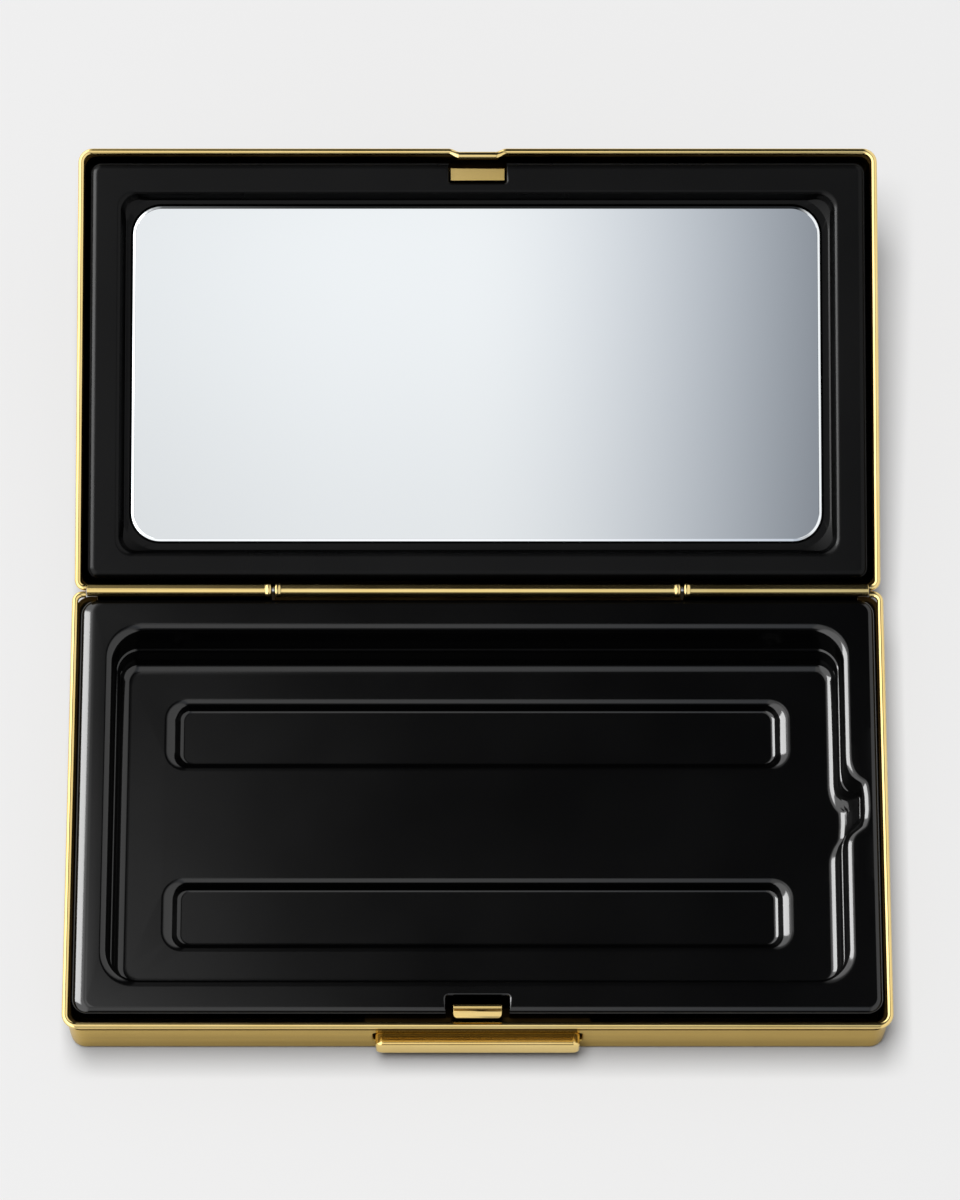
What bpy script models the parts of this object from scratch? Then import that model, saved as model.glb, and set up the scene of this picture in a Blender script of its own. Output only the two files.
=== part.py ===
# Empty makeup compact: brass case, black refill tray, mirror lid, rolled hinge and press latch.
# Blender 4.5, metres, +Z up. The origin is the centre of the underside, the latch faces -Y and the
# hinge +Y. The lid is modelled closed and then turned back about the hinge to its open stop.

import math

import bmesh
import bpy
from mathutils import Matrix, Vector

mm = 0.001

# Case. An inset is a distance inwards from the outside of the rim.
case_width = 100 * mm
case_depth = 55.4 * mm  # front of the rim to the hinge axis
base_height = 11.5 * mm  # underside to the base's rim plane
lid_height = 5.3 * mm  # the lid's rim plane to its outer face
lid_side_step = 0.3 * mm  # the lid is this much narrower at each side
rim_gap = 0.3 * mm  # between the two rims when the compact is closed
open_angle = math.radians(168)
piece_gap = 0.3 * mm  # between pieces that seat on each other
laminate_gap = 0.15 * mm  # between the mirror, its tape and their seat
cut_overrun = 1 * mm  # how far a cutter passes the face that it opens
weld_distance = 0.001 * mm

# Rolled rims
rim_radius = 0.45 * mm
rim_overhang = 0.35 * mm  # how far a rim stands out from the wall below it
rim_corner = 2.1 * mm

# Drawn shells
base_wall = 0.7 * mm
lid_wall = 0.45 * mm
shell_corner = 3 * mm
base_edge = 0.9 * mm
lid_edge = 2 * mm

# Hinge barrel
knuckle_radius = 0.8 * mm
bore_radius = 0.5 * mm
pin_radius = 0.35 * mm
heel_length = 0.7 * mm  # straight end of the base's rim beside the barrel
seam_place = 25.2 * mm  # middle of each seam, from the centre
seam_width = 0.35 * mm
leaf_thickness = 0.35 * mm
leaf_drop = 3.2 * mm  # below the rim plane
pin_recess = 0.3 * mm  # at each end of the barrel

# Refill tray
tray_drop = 0.3 * mm  # flange below the rim plane
tray_side = 1.55 * mm
tray_front = 1.9 * mm
tray_rear = 1.35 * mm
tray_corner = 1.3 * mm
tray_edge = 0.9 * mm
tray_wall = 0.8 * mm
skirt_room = 0.5 * mm  # between the tray's skirt and the latch slide
tray_lap = 0.65 * mm  # how far below the flange the dished part joins it

# Well of the tray, from its mouth in the flange down to its floor
well_side = 4 * mm
well_front = 5.15 * mm
well_rear = 4.1 * mm
well_corner = 3.2 * mm
well_floor_corner = 1.1 * mm
well_lip = 1 * mm  # rounding of the mouth
well_side_draft = 2.05 * mm
well_front_draft = 1.6 * mm
well_rear_draft = 3.3 * mm
wall_shares = ((0.0, 1.0), (0.1, 0.95), (0.28, 0.72), (0.5, 0.4), (0.56, 0.38), (1.0, 0.0))

# Finger notch in the right wall of the well
finger_half = 4.4 * mm
finger_mouth = 2.6 * mm  # inset of its mouth
finger_floor = 5.4 * mm  # inset of its floor
finger_reach = 2 * mm  # how far it starts inside the wall of the well
finger_rise = 0.1 * mm  # its floor above the floor of the well
finger_shares = ((1.0, 0.0), (0.92, 0.05), (0.8, 0.3), (0.66, 0.72), (0.5, 0.94), (0.3, 1.0))

# The two long pockets in the floor
pocket_end = 11.7 * mm  # inset of each pocket's ends
pocket_width = 9 * mm
pocket_depth = 1.1 * mm
pocket_end_slope = 2 * mm
pocket_side_slope = 1.35 * mm
pocket_corner = 2.4 * mm
pocket_floor_corner = 1.2 * mm
pocket_rear_inset = 16.3 * mm  # hinge axis to the middle of the rear pocket
pocket_front_inset = 16.1 * mm

# Magnet strips under the pockets
strip_thickness = 0.5 * mm
strip_inset = 0.6 * mm  # inside the pocket's floor
strip_room = 0.9 * mm  # between the strips and the floor of the base

# Mirror and its frame in the lid, as depths above the lid's rim plane when closed
frame_drop = 0.3 * mm
frame_side = 1.45 * mm
frame_front = 1.98 * mm
frame_rear = 1.5 * mm
frame_depth = 4.5 * mm  # rim plane to the back of the frame
frame_skirt = 2.4 * mm
recess_side = 5 * mm
recess_front = 5.3 * mm
recess_rear = 4.15 * mm
recess_corner = 2.7 * mm
recess_lip = 0.5 * mm
mirror_side = 7 * mm
mirror_front = 7 * mm
mirror_rear = 6.3 * mm
mirror_corner = 3.3 * mm
mirror_depth = 1.9 * mm
mirror_thickness = 1.1 * mm
mirror_bevel = 0.4 * mm
mirror_clearance = 0.25 * mm
tape_thickness = 0.2 * mm
tape_inset = 2 * mm

# Thumb button, half way up the front wall
button_half = 12.35 * mm
button_height = 4 * mm
button_stand = 1.5 * mm  # how far it stands out of the wall
button_corner = 0.9 * mm
button_edge = 0.5 * mm
latch_travel = 1 * mm

# Latch slide behind the front wall, its hook and springs
slide_overlap = 0.95 * mm  # beyond each end of the button's opening
slide_lip = 0.3 * mm  # beyond its top and bottom
slide_thickness = 0.8 * mm
hook_half = 2.95 * mm
hook_let_in = 2 * mm  # how far the hook goes down into the slide
hook_front = 1.75 * mm
hook_thickness = 0.6 * mm
hook_tip = 0.9 * mm
hook_underside = 1.3 * mm  # above the rim plane
hook_tip_height = 0.15 * mm
hook_top = 1.95 * mm
hook_roll = 0.25 * mm
latch_notch_half = 3.85 * mm
latch_notch_back = 4.07 * mm
spring_place = 8 * mm
spring_radius = 0.95 * mm
spring_wire = 0.11 * mm
spring_turns = 3
stud_radius = 0.5 * mm
stud_length = 0.9 * mm
bracket_half = 10.5 * mm
bracket_face = 4.95 * mm
bracket_thickness = 0.4 * mm
bracket_rise = 1.6 * mm  # above the springs' axes
bracket_toe = 3.05 * mm
rivet_place = 5 * mm
rivet_inset = 4 * mm
rivet_head_radius = 0.8 * mm
rivet_head_height = 0.5 * mm
rivet_radius = 0.45 * mm

# Catch in the lid: the rim is pressed in to a lip, and a channel stands behind it
jog_depth = 0.5 * mm
jog_half = 3.5 * mm
lip_half = 2.3 * mm
catch_half = 3.5 * mm
catch_front = 2.2 * mm
catch_back = 3.9 * mm
catch_depth = 1.95 * mm
catch_thickness = 0.4 * mm
catch_notch_half = 3.9 * mm
catch_notch_back = 4.35 * mm

quarter_turn = math.pi / 2

# Segments
corner_steps = 6
edge_steps = 4
lip_steps = 3
round_sides = 24
spring_steps = 10
rim_resolution = 3
wire_resolution = 1

# Places worked out from the sizes above
front_y = -case_depth / 2
hinge_y = case_depth / 2
axis_z = base_height + rim_gap / 2
lid_rim_z = base_height + rim_gap
lid_width = case_width - 2 * lid_side_step
rim_height = 2 * rim_radius
wall_top = base_height - rim_height - piece_gap
wall_inside = rim_overhang + base_wall
barrel_half = case_width / 2 - rim_corner - heel_length - piece_gap
strip_bottom = base_wall + strip_room
pocket_floor = strip_bottom + strip_thickness + piece_gap + tray_wall
well_floor = pocket_floor + pocket_depth
tray_top = base_height - tray_drop
well_depth = tray_top - well_floor
pocket_half = case_width / 2 - pocket_end
button_middle = (base_height - rim_height) / 2
opening_half = button_half + piece_gap
opening_top = button_middle + button_height / 2 + piece_gap
opening_bottom = button_middle - button_height / 2 - piece_gap
slide_front = wall_inside + piece_gap
slide_back = slide_front + slide_thickness
slide_bottom = opening_bottom - slide_lip
slide_top = opening_top + slide_lip
hook_root = slide_top - hook_let_in
skirt_bottom = slide_top + skirt_room
catch_foot = lid_height - lid_wall - piece_gap
frame_face = lid_rim_z + frame_drop
mirror_back = mirror_depth + mirror_thickness
tape_seat = mirror_back + 2 * laminate_gap + tape_thickness


# Scene helpers


def clear_scene():
    for obj in list(bpy.data.objects):
        bpy.data.objects.remove(obj, do_unlink=True)


def new_collection(name):
    collection = bpy.data.collections.new(name)
    bpy.context.scene.collection.children.link(collection)
    return collection


def material(name, colour, roughness, metallic):
    made = bpy.data.materials.new(name)
    made.use_nodes = True
    shader = made.node_tree.nodes["Principled BSDF"]
    shader.inputs["Base Color"].default_value = (*colour, 1)
    shader.inputs["Roughness"].default_value = roughness
    shader.inputs["Metallic"].default_value = metallic
    return made


def add_object(name, data, collection):
    obj = bpy.data.objects.new(name, data)
    collection.objects.link(obj)
    return obj


def mesh_from(name, built):
    data = bpy.data.meshes.new(name)
    built.to_mesh(data)
    built.free()
    return data


def dress(obj, finish, smooth=True):
    obj.data.materials.clear()
    obj.data.materials.append(finish)
    if obj.type == "MESH" and smooth:
        obj.data.shade_smooth()
        obj.data.set_sharp_from_angle(angle=math.radians(35))
    return obj


# Outlines and solids


def case_box(width, side, front, rear):
    """Left, right, front and rear limits at these insets from the rim's outside."""
    return (-width / 2 + side, width / 2 - side, front_y + front, hinge_y - rear)


def grown(box, amount):
    left, right, front, rear = box
    return (left - amount, right + amount, front - amount, rear + amount)


def rounded_outline(box, radius):
    """Anticlockwise points of a rectangle with round corners."""
    left, right, front, rear = box
    corners = (
        (right - radius, front + radius),
        (right - radius, rear - radius),
        (left + radius, rear - radius),
        (left + radius, front + radius),
    )
    points = []
    for number, (x, y) in enumerate(corners):
        for step in range(corner_steps + 1):
            angle = quarter_turn * (number - 1 + step / corner_steps)
            points.append((x + radius * math.cos(angle), y + radius * math.sin(angle)))
    return points


def flat_solid(name, outlines, low, high, across, collection):
    """An outline, with any holes, extruded between two places along X, Y or Z, as a mesh."""
    turns = {
        "X": Matrix(((0, 0, 1, 0), (1, 0, 0, 0), (0, 1, 0, 0), (0, 0, 0, 1))),
        "Y": Matrix(((1, 0, 0, 0), (0, 0, -1, 0), (0, 1, 0, 0), (0, 0, 0, 1))),
        "Z": Matrix.Identity(4),
    }
    direction = {"X": Vector((1, 0, 0)), "Y": Vector((0, 1, 0)), "Z": Vector((0, 0, 1))}
    curve = bpy.data.curves.new(name, "CURVE")
    curve.dimensions = "2D"
    curve.fill_mode = "BOTH"
    curve.extrude = (high - low) / 2
    for outline in outlines:
        spline = curve.splines.new("POLY")
        spline.points.add(len(outline) - 1)
        for point, (u, v) in zip(spline.points, outline):
            point.co = (u, v, 0, 1)
        spline.use_cyclic_u = True
    flat = add_object(name, curve, collection)
    data = bpy.data.meshes.new_from_object(flat.evaluated_get(bpy.context.evaluated_depsgraph_get()))
    bpy.data.objects.remove(flat)
    built = bmesh.new()
    built.from_mesh(data)
    bpy.data.meshes.remove(data)
    bmesh.ops.remove_doubles(built, verts=built.verts, dist=weld_distance)
    bmesh.ops.recalc_face_normals(built, faces=built.faces)
    place = Matrix.Translation(direction[across] * (low + high) / 2)
    bmesh.ops.transform(built, matrix=place @ turns[across], verts=built.verts)
    return add_object(name, mesh_from(name, built), collection)


def rounded_slab(name, box, radius, low, high, collection):
    return flat_solid(name, [rounded_outline(box, radius)], low, high, "Z", collection)


def block(name, box, low, high, collection):
    left, right, front, rear = box
    built = bmesh.new()
    bmesh.ops.create_cube(built, size=1)
    bmesh.ops.scale(built, vec=(right - left, rear - front, high - low), verts=built.verts)
    middle = ((left + right) / 2, (front + rear) / 2, (low + high) / 2)
    bmesh.ops.translate(built, vec=middle, verts=built.verts)
    return add_object(name, mesh_from(name, built), collection)


def cylinder(name, radius, start, end, collection):
    """A round bar between two points."""
    start, end = Vector(start), Vector(end)
    built = bmesh.new()
    bmesh.ops.create_cone(
        built,
        cap_ends=True,
        segments=round_sides,
        radius1=radius,
        radius2=radius,
        depth=(end - start).length,
    )
    turn = Vector((0, 0, 1)).rotation_difference(end - start).to_matrix().to_4x4()
    place = Matrix.Translation((start + end) / 2)
    bmesh.ops.transform(built, matrix=place @ turn, verts=built.verts)
    return add_object(name, mesh_from(name, built), collection)


def loft(name, sections, collection):
    """A closed solid through unlike outlines of equal count, listed upwards as (outline, z)."""
    built = bmesh.new()
    loops = [[built.verts.new((x, y, z)) for x, y in outline] for outline, z in sections]
    for lower, upper in zip(loops, loops[1:]):
        for i, corner in enumerate(lower):
            j = (i + 1) % len(lower)
            built.faces.new((corner, lower[j], upper[j], upper[i]))
    built.faces.new(loops[0][::-1])
    built.faces.new(loops[-1])
    return add_object(name, mesh_from(name, built), collection)


def bevel_edges(built, edges, width, steps):
    bmesh.ops.bevel(
        built,
        geom=list(edges),
        offset=width,
        offset_type="OFFSET",
        segments=steps,
        profile=0.5,
        affect="EDGES",
    )


def edges_of_faces(built, direction):
    """The edges of the faces that look this way."""
    built.normal_update()
    facing = [face for face in built.faces if face.normal.dot(direction) > 0.999]
    return {edge for face in facing for edge in face.edges}


def round_face(obj, direction, width, steps):
    """Round the edges of the flat face that looks this way."""
    built = bmesh.new()
    built.from_mesh(obj.data)
    edges = [e for e in edges_of_faces(built, direction) if e.calc_face_angle(0) > 0.5]
    bevel_edges(built, edges, width, steps)
    built.to_mesh(obj.data)
    built.free()


def dished_sheet(name, box, corner, edge, low, high, wall, closed_side, collection):
    """A drawn sheet with round corners and edges, open at the top or bottom, given its wall inwards."""
    left, right, front, rear = box
    built = bmesh.new()
    bmesh.ops.create_cube(built, size=1)
    bmesh.ops.scale(built, vec=(right - left, rear - front, high - low), verts=built.verts)
    middle = ((left + right) / 2, (front + rear) / 2, (low + high) / 2)
    bmesh.ops.translate(built, vec=middle, verts=built.verts)
    upright = [e for e in built.edges if abs(e.verts[0].co.z - e.verts[1].co.z) > weld_distance]
    bevel_edges(built, upright, corner, corner_steps)
    closed = Vector((0, 0, closed_side))
    bevel_edges(built, edges_of_faces(built, closed), edge, edge_steps)
    built.normal_update()
    opened = [face for face in built.faces if face.normal.dot(-closed) > 0.999]
    bmesh.ops.delete(built, geom=opened, context="FACES_ONLY")
    obj = add_object(name, mesh_from(name, built), collection)
    sheet = obj.modifiers.new("Wall", "SOLIDIFY")
    sheet.thickness = wall
    sheet.offset = -1
    sheet.use_even_offset = True
    return obj


def combine(obj, other, operation):
    step = obj.modifiers.new(other.name, "BOOLEAN")
    step.operation = operation
    step.object = other


def tube(name, points, radius, resolution, collection):
    curve = bpy.data.curves.new(name, "CURVE")
    curve.dimensions = "3D"
    curve.bevel_depth = radius
    curve.bevel_resolution = resolution
    curve.use_fill_caps = True
    spline = curve.splines.new("POLY")
    spline.points.add(len(points) - 1)
    for point, place in zip(spline.points, points):
        point.co = (*place, 1)
    return add_object(name, curve, collection)


# Case


def rim_points(width, z, jog):
    """Centre line of a rim: from the left heel at the hinge, round the front, to the right heel."""
    radius = rim_corner - rim_radius
    left, right, front, rear = case_box(width, rim_radius, rim_radius, rim_radius)
    heel = barrel_half + piece_gap
    corners = (
        (left + radius, rear - radius),
        (left + radius, front + radius),
        (right - radius, front + radius),
        (right - radius, rear - radius),
    )
    points = [(-heel, rear, z)]
    for number, (x, y) in enumerate(corners):
        for step in range(corner_steps + 1):
            angle = quarter_turn * (number + 1 + step / corner_steps)
            points.append((x + radius * math.cos(angle), y + radius * math.sin(angle), z))
        if jog and number == 1:
            for place, depth in ((-jog_half, 0), (-lip_half, jog), (lip_half, jog), (jog_half, 0)):
                points.append((place, front + depth, z))
    return points + [(heel, rear, z)]


def knuckle(name, left, right, side, parts, cutters):
    """A length of hinge barrel with its leaf, which goes down into the base or up into the lid."""
    barrel = cylinder(name, knuckle_radius, (left, hinge_y, axis_z), (right, hinge_y, axis_z), parts)
    leaf_end = base_height - leaf_drop if side < 0 else lid_rim_z + leaf_drop
    front = hinge_y - rim_overhang - leaf_thickness
    box = (left, right, front, hinge_y - rim_overhang)
    leaf = block(name + "_leaf", box, min(leaf_end, axis_z), max(leaf_end, axis_z), cutters)
    combine(barrel, leaf, "UNION")
    start = (left - cut_overrun, hinge_y, axis_z)
    end = (right + cut_overrun, hinge_y, axis_z)
    combine(barrel, cylinder(name + "_bore", bore_radius, start, end, cutters), "DIFFERENCE")
    return barrel


def leaf_notch(name, left, right, side, cutters):
    """The gap in a rear wall that a leaf is let into."""
    box = (left - piece_gap, right + piece_gap, hinge_y - rim_overhang - cut_overrun, hinge_y)
    if side < 0:
        return block(name, box, base_height - leaf_drop - piece_gap, base_height, cutters)
    return block(name, box, lid_rim_z, lid_rim_z + leaf_drop + piece_gap, cutters)


def side_knuckle_span(side):
    span = (seam_place + seam_width / 2, barrel_half)
    return span if side > 0 else (-span[1], -span[0])


def middle_knuckle_span():
    return (-seam_place + seam_width / 2, seam_place - seam_width / 2)


def make_base_shell(parts, cutters):
    box = case_box(case_width, rim_overhang, rim_overhang, rim_overhang)
    shell = dished_sheet(
        "base_shell", box, shell_corner, base_edge, 0, wall_top, base_wall, -1, parts
    )
    for word, side in (("left", -1), ("right", 1)):
        notch = leaf_notch("base_leaf_notch_" + word, *side_knuckle_span(side), -1, cutters)
        combine(shell, notch, "DIFFERENCE")
    hole = (-opening_half, opening_half, opening_bottom, opening_top)
    outline = rounded_outline(hole, button_corner + piece_gap)
    front, back = front_y - cut_overrun, front_y + wall_inside + cut_overrun
    opening = flat_solid("button_opening", [outline], front, back, "Y", cutters)
    combine(shell, opening, "DIFFERENCE")
    return shell


def make_lid_shell(parts, cutters):
    box = case_box(lid_width, rim_overhang, rim_overhang, rim_overhang)
    low = lid_rim_z + rim_height + piece_gap
    high = lid_rim_z + lid_height
    shell = dished_sheet("lid_shell", box, shell_corner, lid_edge, low, high, lid_wall, 1, parts)
    notch = leaf_notch("lid_leaf_notch", *middle_knuckle_span(), 1, cutters)
    combine(shell, notch, "DIFFERENCE")
    return shell


def make_base_rim(parts):
    points = rim_points(case_width, base_height - rim_radius, 0)
    return tube("base_rim", points, rim_radius, rim_resolution, parts)


def make_lid_rim(parts):
    points = rim_points(lid_width, lid_rim_z + rim_radius, jog_depth)
    return tube("lid_rim", points, rim_radius, rim_resolution, parts)


def make_hinge_pin(parts):
    reach = barrel_half - pin_recess
    return cylinder(
        "hinge_pin", pin_radius, (-reach, hinge_y, axis_z), (reach, hinge_y, axis_z), parts
    )


# Refill tray


def well_box(run, share):
    """Limits of the well at this run inwards from its mouth and share of its draft."""
    return case_box(
        case_width,
        well_side + run + share * well_side_draft,
        well_front + run + share * well_front_draft,
        well_rear + run + share * well_rear_draft,
    )


def well_sections(growth, floor_z, top_z):
    """The well's outlines from floor to mouth. A growth outwards gives the outside of its wall."""
    sections = []
    wall_height = well_depth - well_lip
    for share, height_share in reversed(wall_shares):
        radius = well_corner + (well_floor_corner - well_corner) * share
        outline = rounded_outline(grown(well_box(well_lip, share), growth), radius + growth)
        sections.append((outline, well_floor + height_share * wall_height))
    sections[0] = (sections[0][0], floor_z)
    if growth > 0:
        return sections + [(sections[-1][0], top_z)]
    for step in range(1, lip_steps + 1):
        angle = quarter_turn * step / lip_steps
        outline = rounded_outline(well_box(well_lip * math.cos(angle), 0), well_corner)
        sections.append((outline, tray_top - well_lip * (1 - math.sin(angle))))
    return sections + [(sections[-1][0], top_z)]


def finger_sections(growth, floor_z, top_z):
    """The finger notch's outlines: a short, smooth bulge of the right wall."""

    def outline(wall_box, inset):
        start = wall_box[1] - finger_reach / 2
        bulge = case_width / 2 - inset - start
        half = finger_half + growth
        back = start - finger_reach
        points = [(back, half), (back, -half)]
        points += [(start + growth + bulge * out, -half * along) for along, out in finger_shares]
        points += [(start + growth + bulge * out, half * along) for along, out in finger_shares[::-1]]
        return points

    mouth = outline(well_box(well_lip / 2, 0), finger_mouth)
    sections = [(outline(well_box(well_lip, 1), finger_floor), floor_z)]
    if top_z > tray_top:
        sections.append((mouth, tray_top))
    return sections + [(mouth, top_z)]


def pocket_sections(middle_y, growth, floor_z, top_z):
    """A long pocket of the floor, with sloping sides."""
    half_width = pocket_width / 2
    mouth = (-pocket_half, pocket_half, middle_y - half_width, middle_y + half_width)
    floor = (
        -pocket_half + pocket_end_slope,
        pocket_half - pocket_end_slope,
        middle_y - half_width + pocket_side_slope,
        middle_y + half_width - pocket_side_slope,
    )
    mouth_outline = rounded_outline(grown(mouth, growth), pocket_corner + growth)
    floor_outline = rounded_outline(grown(floor, growth), pocket_floor_corner + growth)
    sections = [(floor_outline, floor_z), (mouth_outline, min(well_floor, top_z))]
    return sections + ([(mouth_outline, top_z)] if top_z > well_floor else [])


def pocket_middles():
    return (("front", front_y + pocket_front_inset), ("rear", hinge_y - pocket_rear_inset))


def make_base_tray(parts, cutters):
    box = case_box(case_width, tray_side, tray_front, tray_rear)
    tray = dished_sheet(
        "base_tray", box, tray_corner, tray_edge, skirt_bottom, tray_top, tray_wall, 1, parts
    )
    lap_z = tray_top - tray_lap
    above = tray_top + cut_overrun
    tub = loft("well_wall", well_sections(tray_wall, well_floor - tray_wall, lap_z), cutters)
    combine(tray, tub, "UNION")
    floor_z = well_floor + finger_rise
    bulge = loft("finger_wall", finger_sections(tray_wall, floor_z - tray_wall, lap_z), cutters)
    combine(tray, bulge, "UNION")
    for word, y in pocket_middles():
        lap = well_floor - tray_wall / 2
        sections = pocket_sections(y, tray_wall, pocket_floor - tray_wall, lap)
        combine(tray, loft("pocket_wall_" + word, sections, cutters), "UNION")
    combine(tray, loft("well_space", well_sections(0, well_floor, above), cutters), "DIFFERENCE")
    combine(tray, loft("finger_space", finger_sections(0, floor_z, above), cutters), "DIFFERENCE")
    for word, y in pocket_middles():
        sections = pocket_sections(y, 0, pocket_floor, well_floor + finger_rise)
        combine(tray, loft("pocket_space_" + word, sections, cutters), "DIFFERENCE")
    notch_box = (-latch_notch_half, latch_notch_half, front_y, front_y + latch_notch_back)
    notch = block("latch_notch", notch_box, skirt_bottom - cut_overrun, above, cutters)
    combine(tray, notch, "DIFFERENCE")
    return tray


def make_magnet_strip(word, middle_y, parts):
    half_length = pocket_half - pocket_end_slope - strip_inset
    half_width = pocket_width / 2 - pocket_side_slope - strip_inset
    box = (-half_length, half_length, middle_y - half_width, middle_y + half_width)
    top = strip_bottom + strip_thickness
    return block("magnet_strip_" + word, box, strip_bottom, top, parts)


# Mirror lid


def recess_sections(growth, low_z, high_z):
    """The mirror's housing, from the frame's face up to the mirror's seat, as the lid lies closed."""
    mouth = case_box(lid_width, recess_side, recess_front, recess_rear)
    pocket = grown(
        case_box(lid_width, mirror_side, mirror_front, mirror_rear), mirror_clearance
    )
    face = rounded_outline(grown(mouth, growth), recess_corner + growth)
    lip = rounded_outline(grown(mouth, growth - recess_lip), recess_corner - recess_lip + growth)
    seat = rounded_outline(grown(pocket, growth), mirror_corner + mirror_clearance + growth)
    sections = [(face, low_z)]
    if low_z < frame_face:
        sections.append((face, frame_face))
    lip_z = max(frame_face + recess_lip, low_z + recess_lip)
    return sections + [(lip, lip_z), (seat, lid_rim_z + mirror_depth), (seat, high_z)]


def make_lid_frame(parts, cutters):
    box = case_box(lid_width, frame_side, frame_front, frame_rear)
    back = lid_rim_z + frame_depth
    skirt_end = frame_face + frame_skirt
    frame = dished_sheet(
        "lid_frame", box, tray_corner, tray_edge, frame_face, skirt_end, tray_wall, -1, parts
    )
    housing = loft("mirror_housing", recess_sections(tray_wall, frame_face + tray_lap, back), cutters)
    combine(frame, housing, "UNION")
    below = frame_face - cut_overrun
    space = loft("mirror_space", recess_sections(0, below, lid_rim_z + tape_seat), cutters)
    combine(frame, space, "DIFFERENCE")
    notch_box = (-catch_notch_half, catch_notch_half, front_y, front_y + catch_notch_back)
    notch = block("catch_notch", notch_box, below, back + cut_overrun, cutters)
    combine(frame, notch, "DIFFERENCE")
    return frame


def make_mirror(parts):
    box = case_box(lid_width, mirror_side, mirror_front, mirror_rear)
    low = lid_rim_z + mirror_depth
    glass = rounded_slab(
        "mirror_glass", box, mirror_corner, low, low + mirror_thickness, parts
    )
    round_face(glass, Vector((0, 0, -1)), mirror_bevel, 1)
    return glass


def make_mirror_tape(parts):
    box = grown(case_box(lid_width, mirror_side, mirror_front, mirror_rear), -tape_inset)
    low = lid_rim_z + mirror_back + laminate_gap
    return rounded_slab(
        "mirror_tape", box, mirror_corner - tape_inset / 2, low, low + tape_thickness, parts
    )


def make_lid_catch(parts):
    """A channel that stands on the lid's inner face, seen through the frame's notch."""
    face, foot = lid_rim_z + catch_depth, lid_rim_z + catch_foot
    front, back = front_y + catch_front, front_y + catch_back
    outline = [
        (front, face),
        (back, face),
        (back, foot),
        (back - catch_thickness, foot),
        (back - catch_thickness, face + catch_thickness),
        (front + catch_thickness, face + catch_thickness),
        (front + catch_thickness, foot),
        (front, foot),
    ]
    return flat_solid("lid_catch", [outline], -catch_half, catch_half, "X", parts)


# Latch


def make_thumb_button(parts):
    half_height = button_height / 2
    face = (-button_half, button_half, button_middle - half_height, button_middle + half_height)
    front = front_y + rim_overhang - button_stand
    back = front_y + slide_front - piece_gap
    outline = rounded_outline(face, button_corner)
    button = flat_solid("thumb_button", [outline], front, back, "Y", parts)
    round_face(button, Vector((0, -1, 0)), button_edge, edge_steps)
    return button


def make_latch_slide(parts, cutters):
    """The plate behind the wall, notched for the hook, with a stud for each spring."""
    half = opening_half + slide_overlap
    notch_half = hook_half + piece_gap
    notch_floor = hook_root - piece_gap
    outline = [
        (-half, slide_bottom),
        (half, slide_bottom),
        (half, slide_top),
        (notch_half, slide_top),
        (notch_half, notch_floor),
        (-notch_half, notch_floor),
        (-notch_half, slide_top),
        (-half, slide_top),
    ]
    front, back = front_y + slide_front, front_y + slide_back
    slide = flat_solid("latch_slide", [outline], front, back, "Y", parts)
    for word, x in (("left", -spring_place), ("right", spring_place)):
        start = (x, back - slide_thickness / 2, button_middle)
        end = (x, back + stud_length, button_middle)
        combine(slide, cylinder("stud_" + word, stud_radius, start, end, cutters), "UNION")
    return slide


def make_latch_hook(parts):
    """A brass plate let into the slide: its nose leans forwards over the base's rim."""
    stem, back, tip = (front_y + inset for inset in (hook_front, hook_front + hook_thickness, hook_tip))
    under, top = base_height + hook_underside, base_height + hook_top
    outline = [
        (stem, hook_root),
        (back, hook_root),
        (back, top - hook_roll),
        (back - hook_roll / 2, top - hook_roll / 4),
        (back - hook_roll, top),
        (stem, top),
        (tip, under + hook_tip_height),
        (tip, under),
        (stem, under),
    ]
    return flat_solid("latch_hook", [outline], -hook_half, hook_half, "X", parts)


def make_latch_spring(word, x, parts):
    start = front_y + slide_back + piece_gap + spring_wire
    end = front_y + bracket_face - piece_gap - spring_wire
    count = spring_turns * spring_steps
    points = []
    for step in range(count + 1):
        angle = 2 * math.pi * step / spring_steps
        y = start + (end - start) * step / count
        across = spring_radius * math.cos(angle)
        points.append((x + across, y, button_middle + spring_radius * math.sin(angle)))
    return tube("latch_spring_" + word, points, spring_wire, wire_resolution, parts)


def make_latch_bracket(parts, cutters):
    """The angle behind the springs, riveted to the floor of the base."""
    low = base_wall + piece_gap
    top = button_middle + bracket_rise
    toe, face = front_y + bracket_toe, front_y + bracket_face
    outline = [
        (toe, low),
        (face + bracket_thickness, low),
        (face + bracket_thickness, top),
        (face, top),
        (face, low + bracket_thickness),
        (toe, low + bracket_thickness),
    ]
    bracket = flat_solid("latch_bracket", [outline], -bracket_half, bracket_half, "X", parts)
    for word, x in (("left", -rivet_place), ("right", rivet_place)):
        y = front_y + rivet_inset
        start, end = (x, y, low - cut_overrun), (x, y, low + bracket_thickness + cut_overrun)
        hole = cylinder("rivet_hole_" + word, rivet_radius + piece_gap, start, end, cutters)
        combine(bracket, hole, "DIFFERENCE")
    return bracket


def make_latch_rivet(word, x, parts, cutters):
    y = front_y + rivet_inset
    foot = base_wall + piece_gap
    head = foot + bracket_thickness + piece_gap
    top = head + rivet_head_height
    rivet = cylinder(
        "latch_rivet_" + word, rivet_head_radius, (x, y, head), (x, y, top), parts
    )
    shank = cylinder(
        "rivet_shank_" + word, rivet_radius, (x, y, foot), (x, y, head + rivet_head_height / 2), cutters
    )
    combine(rivet, shank, "UNION")
    return rivet


# Assembly


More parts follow.
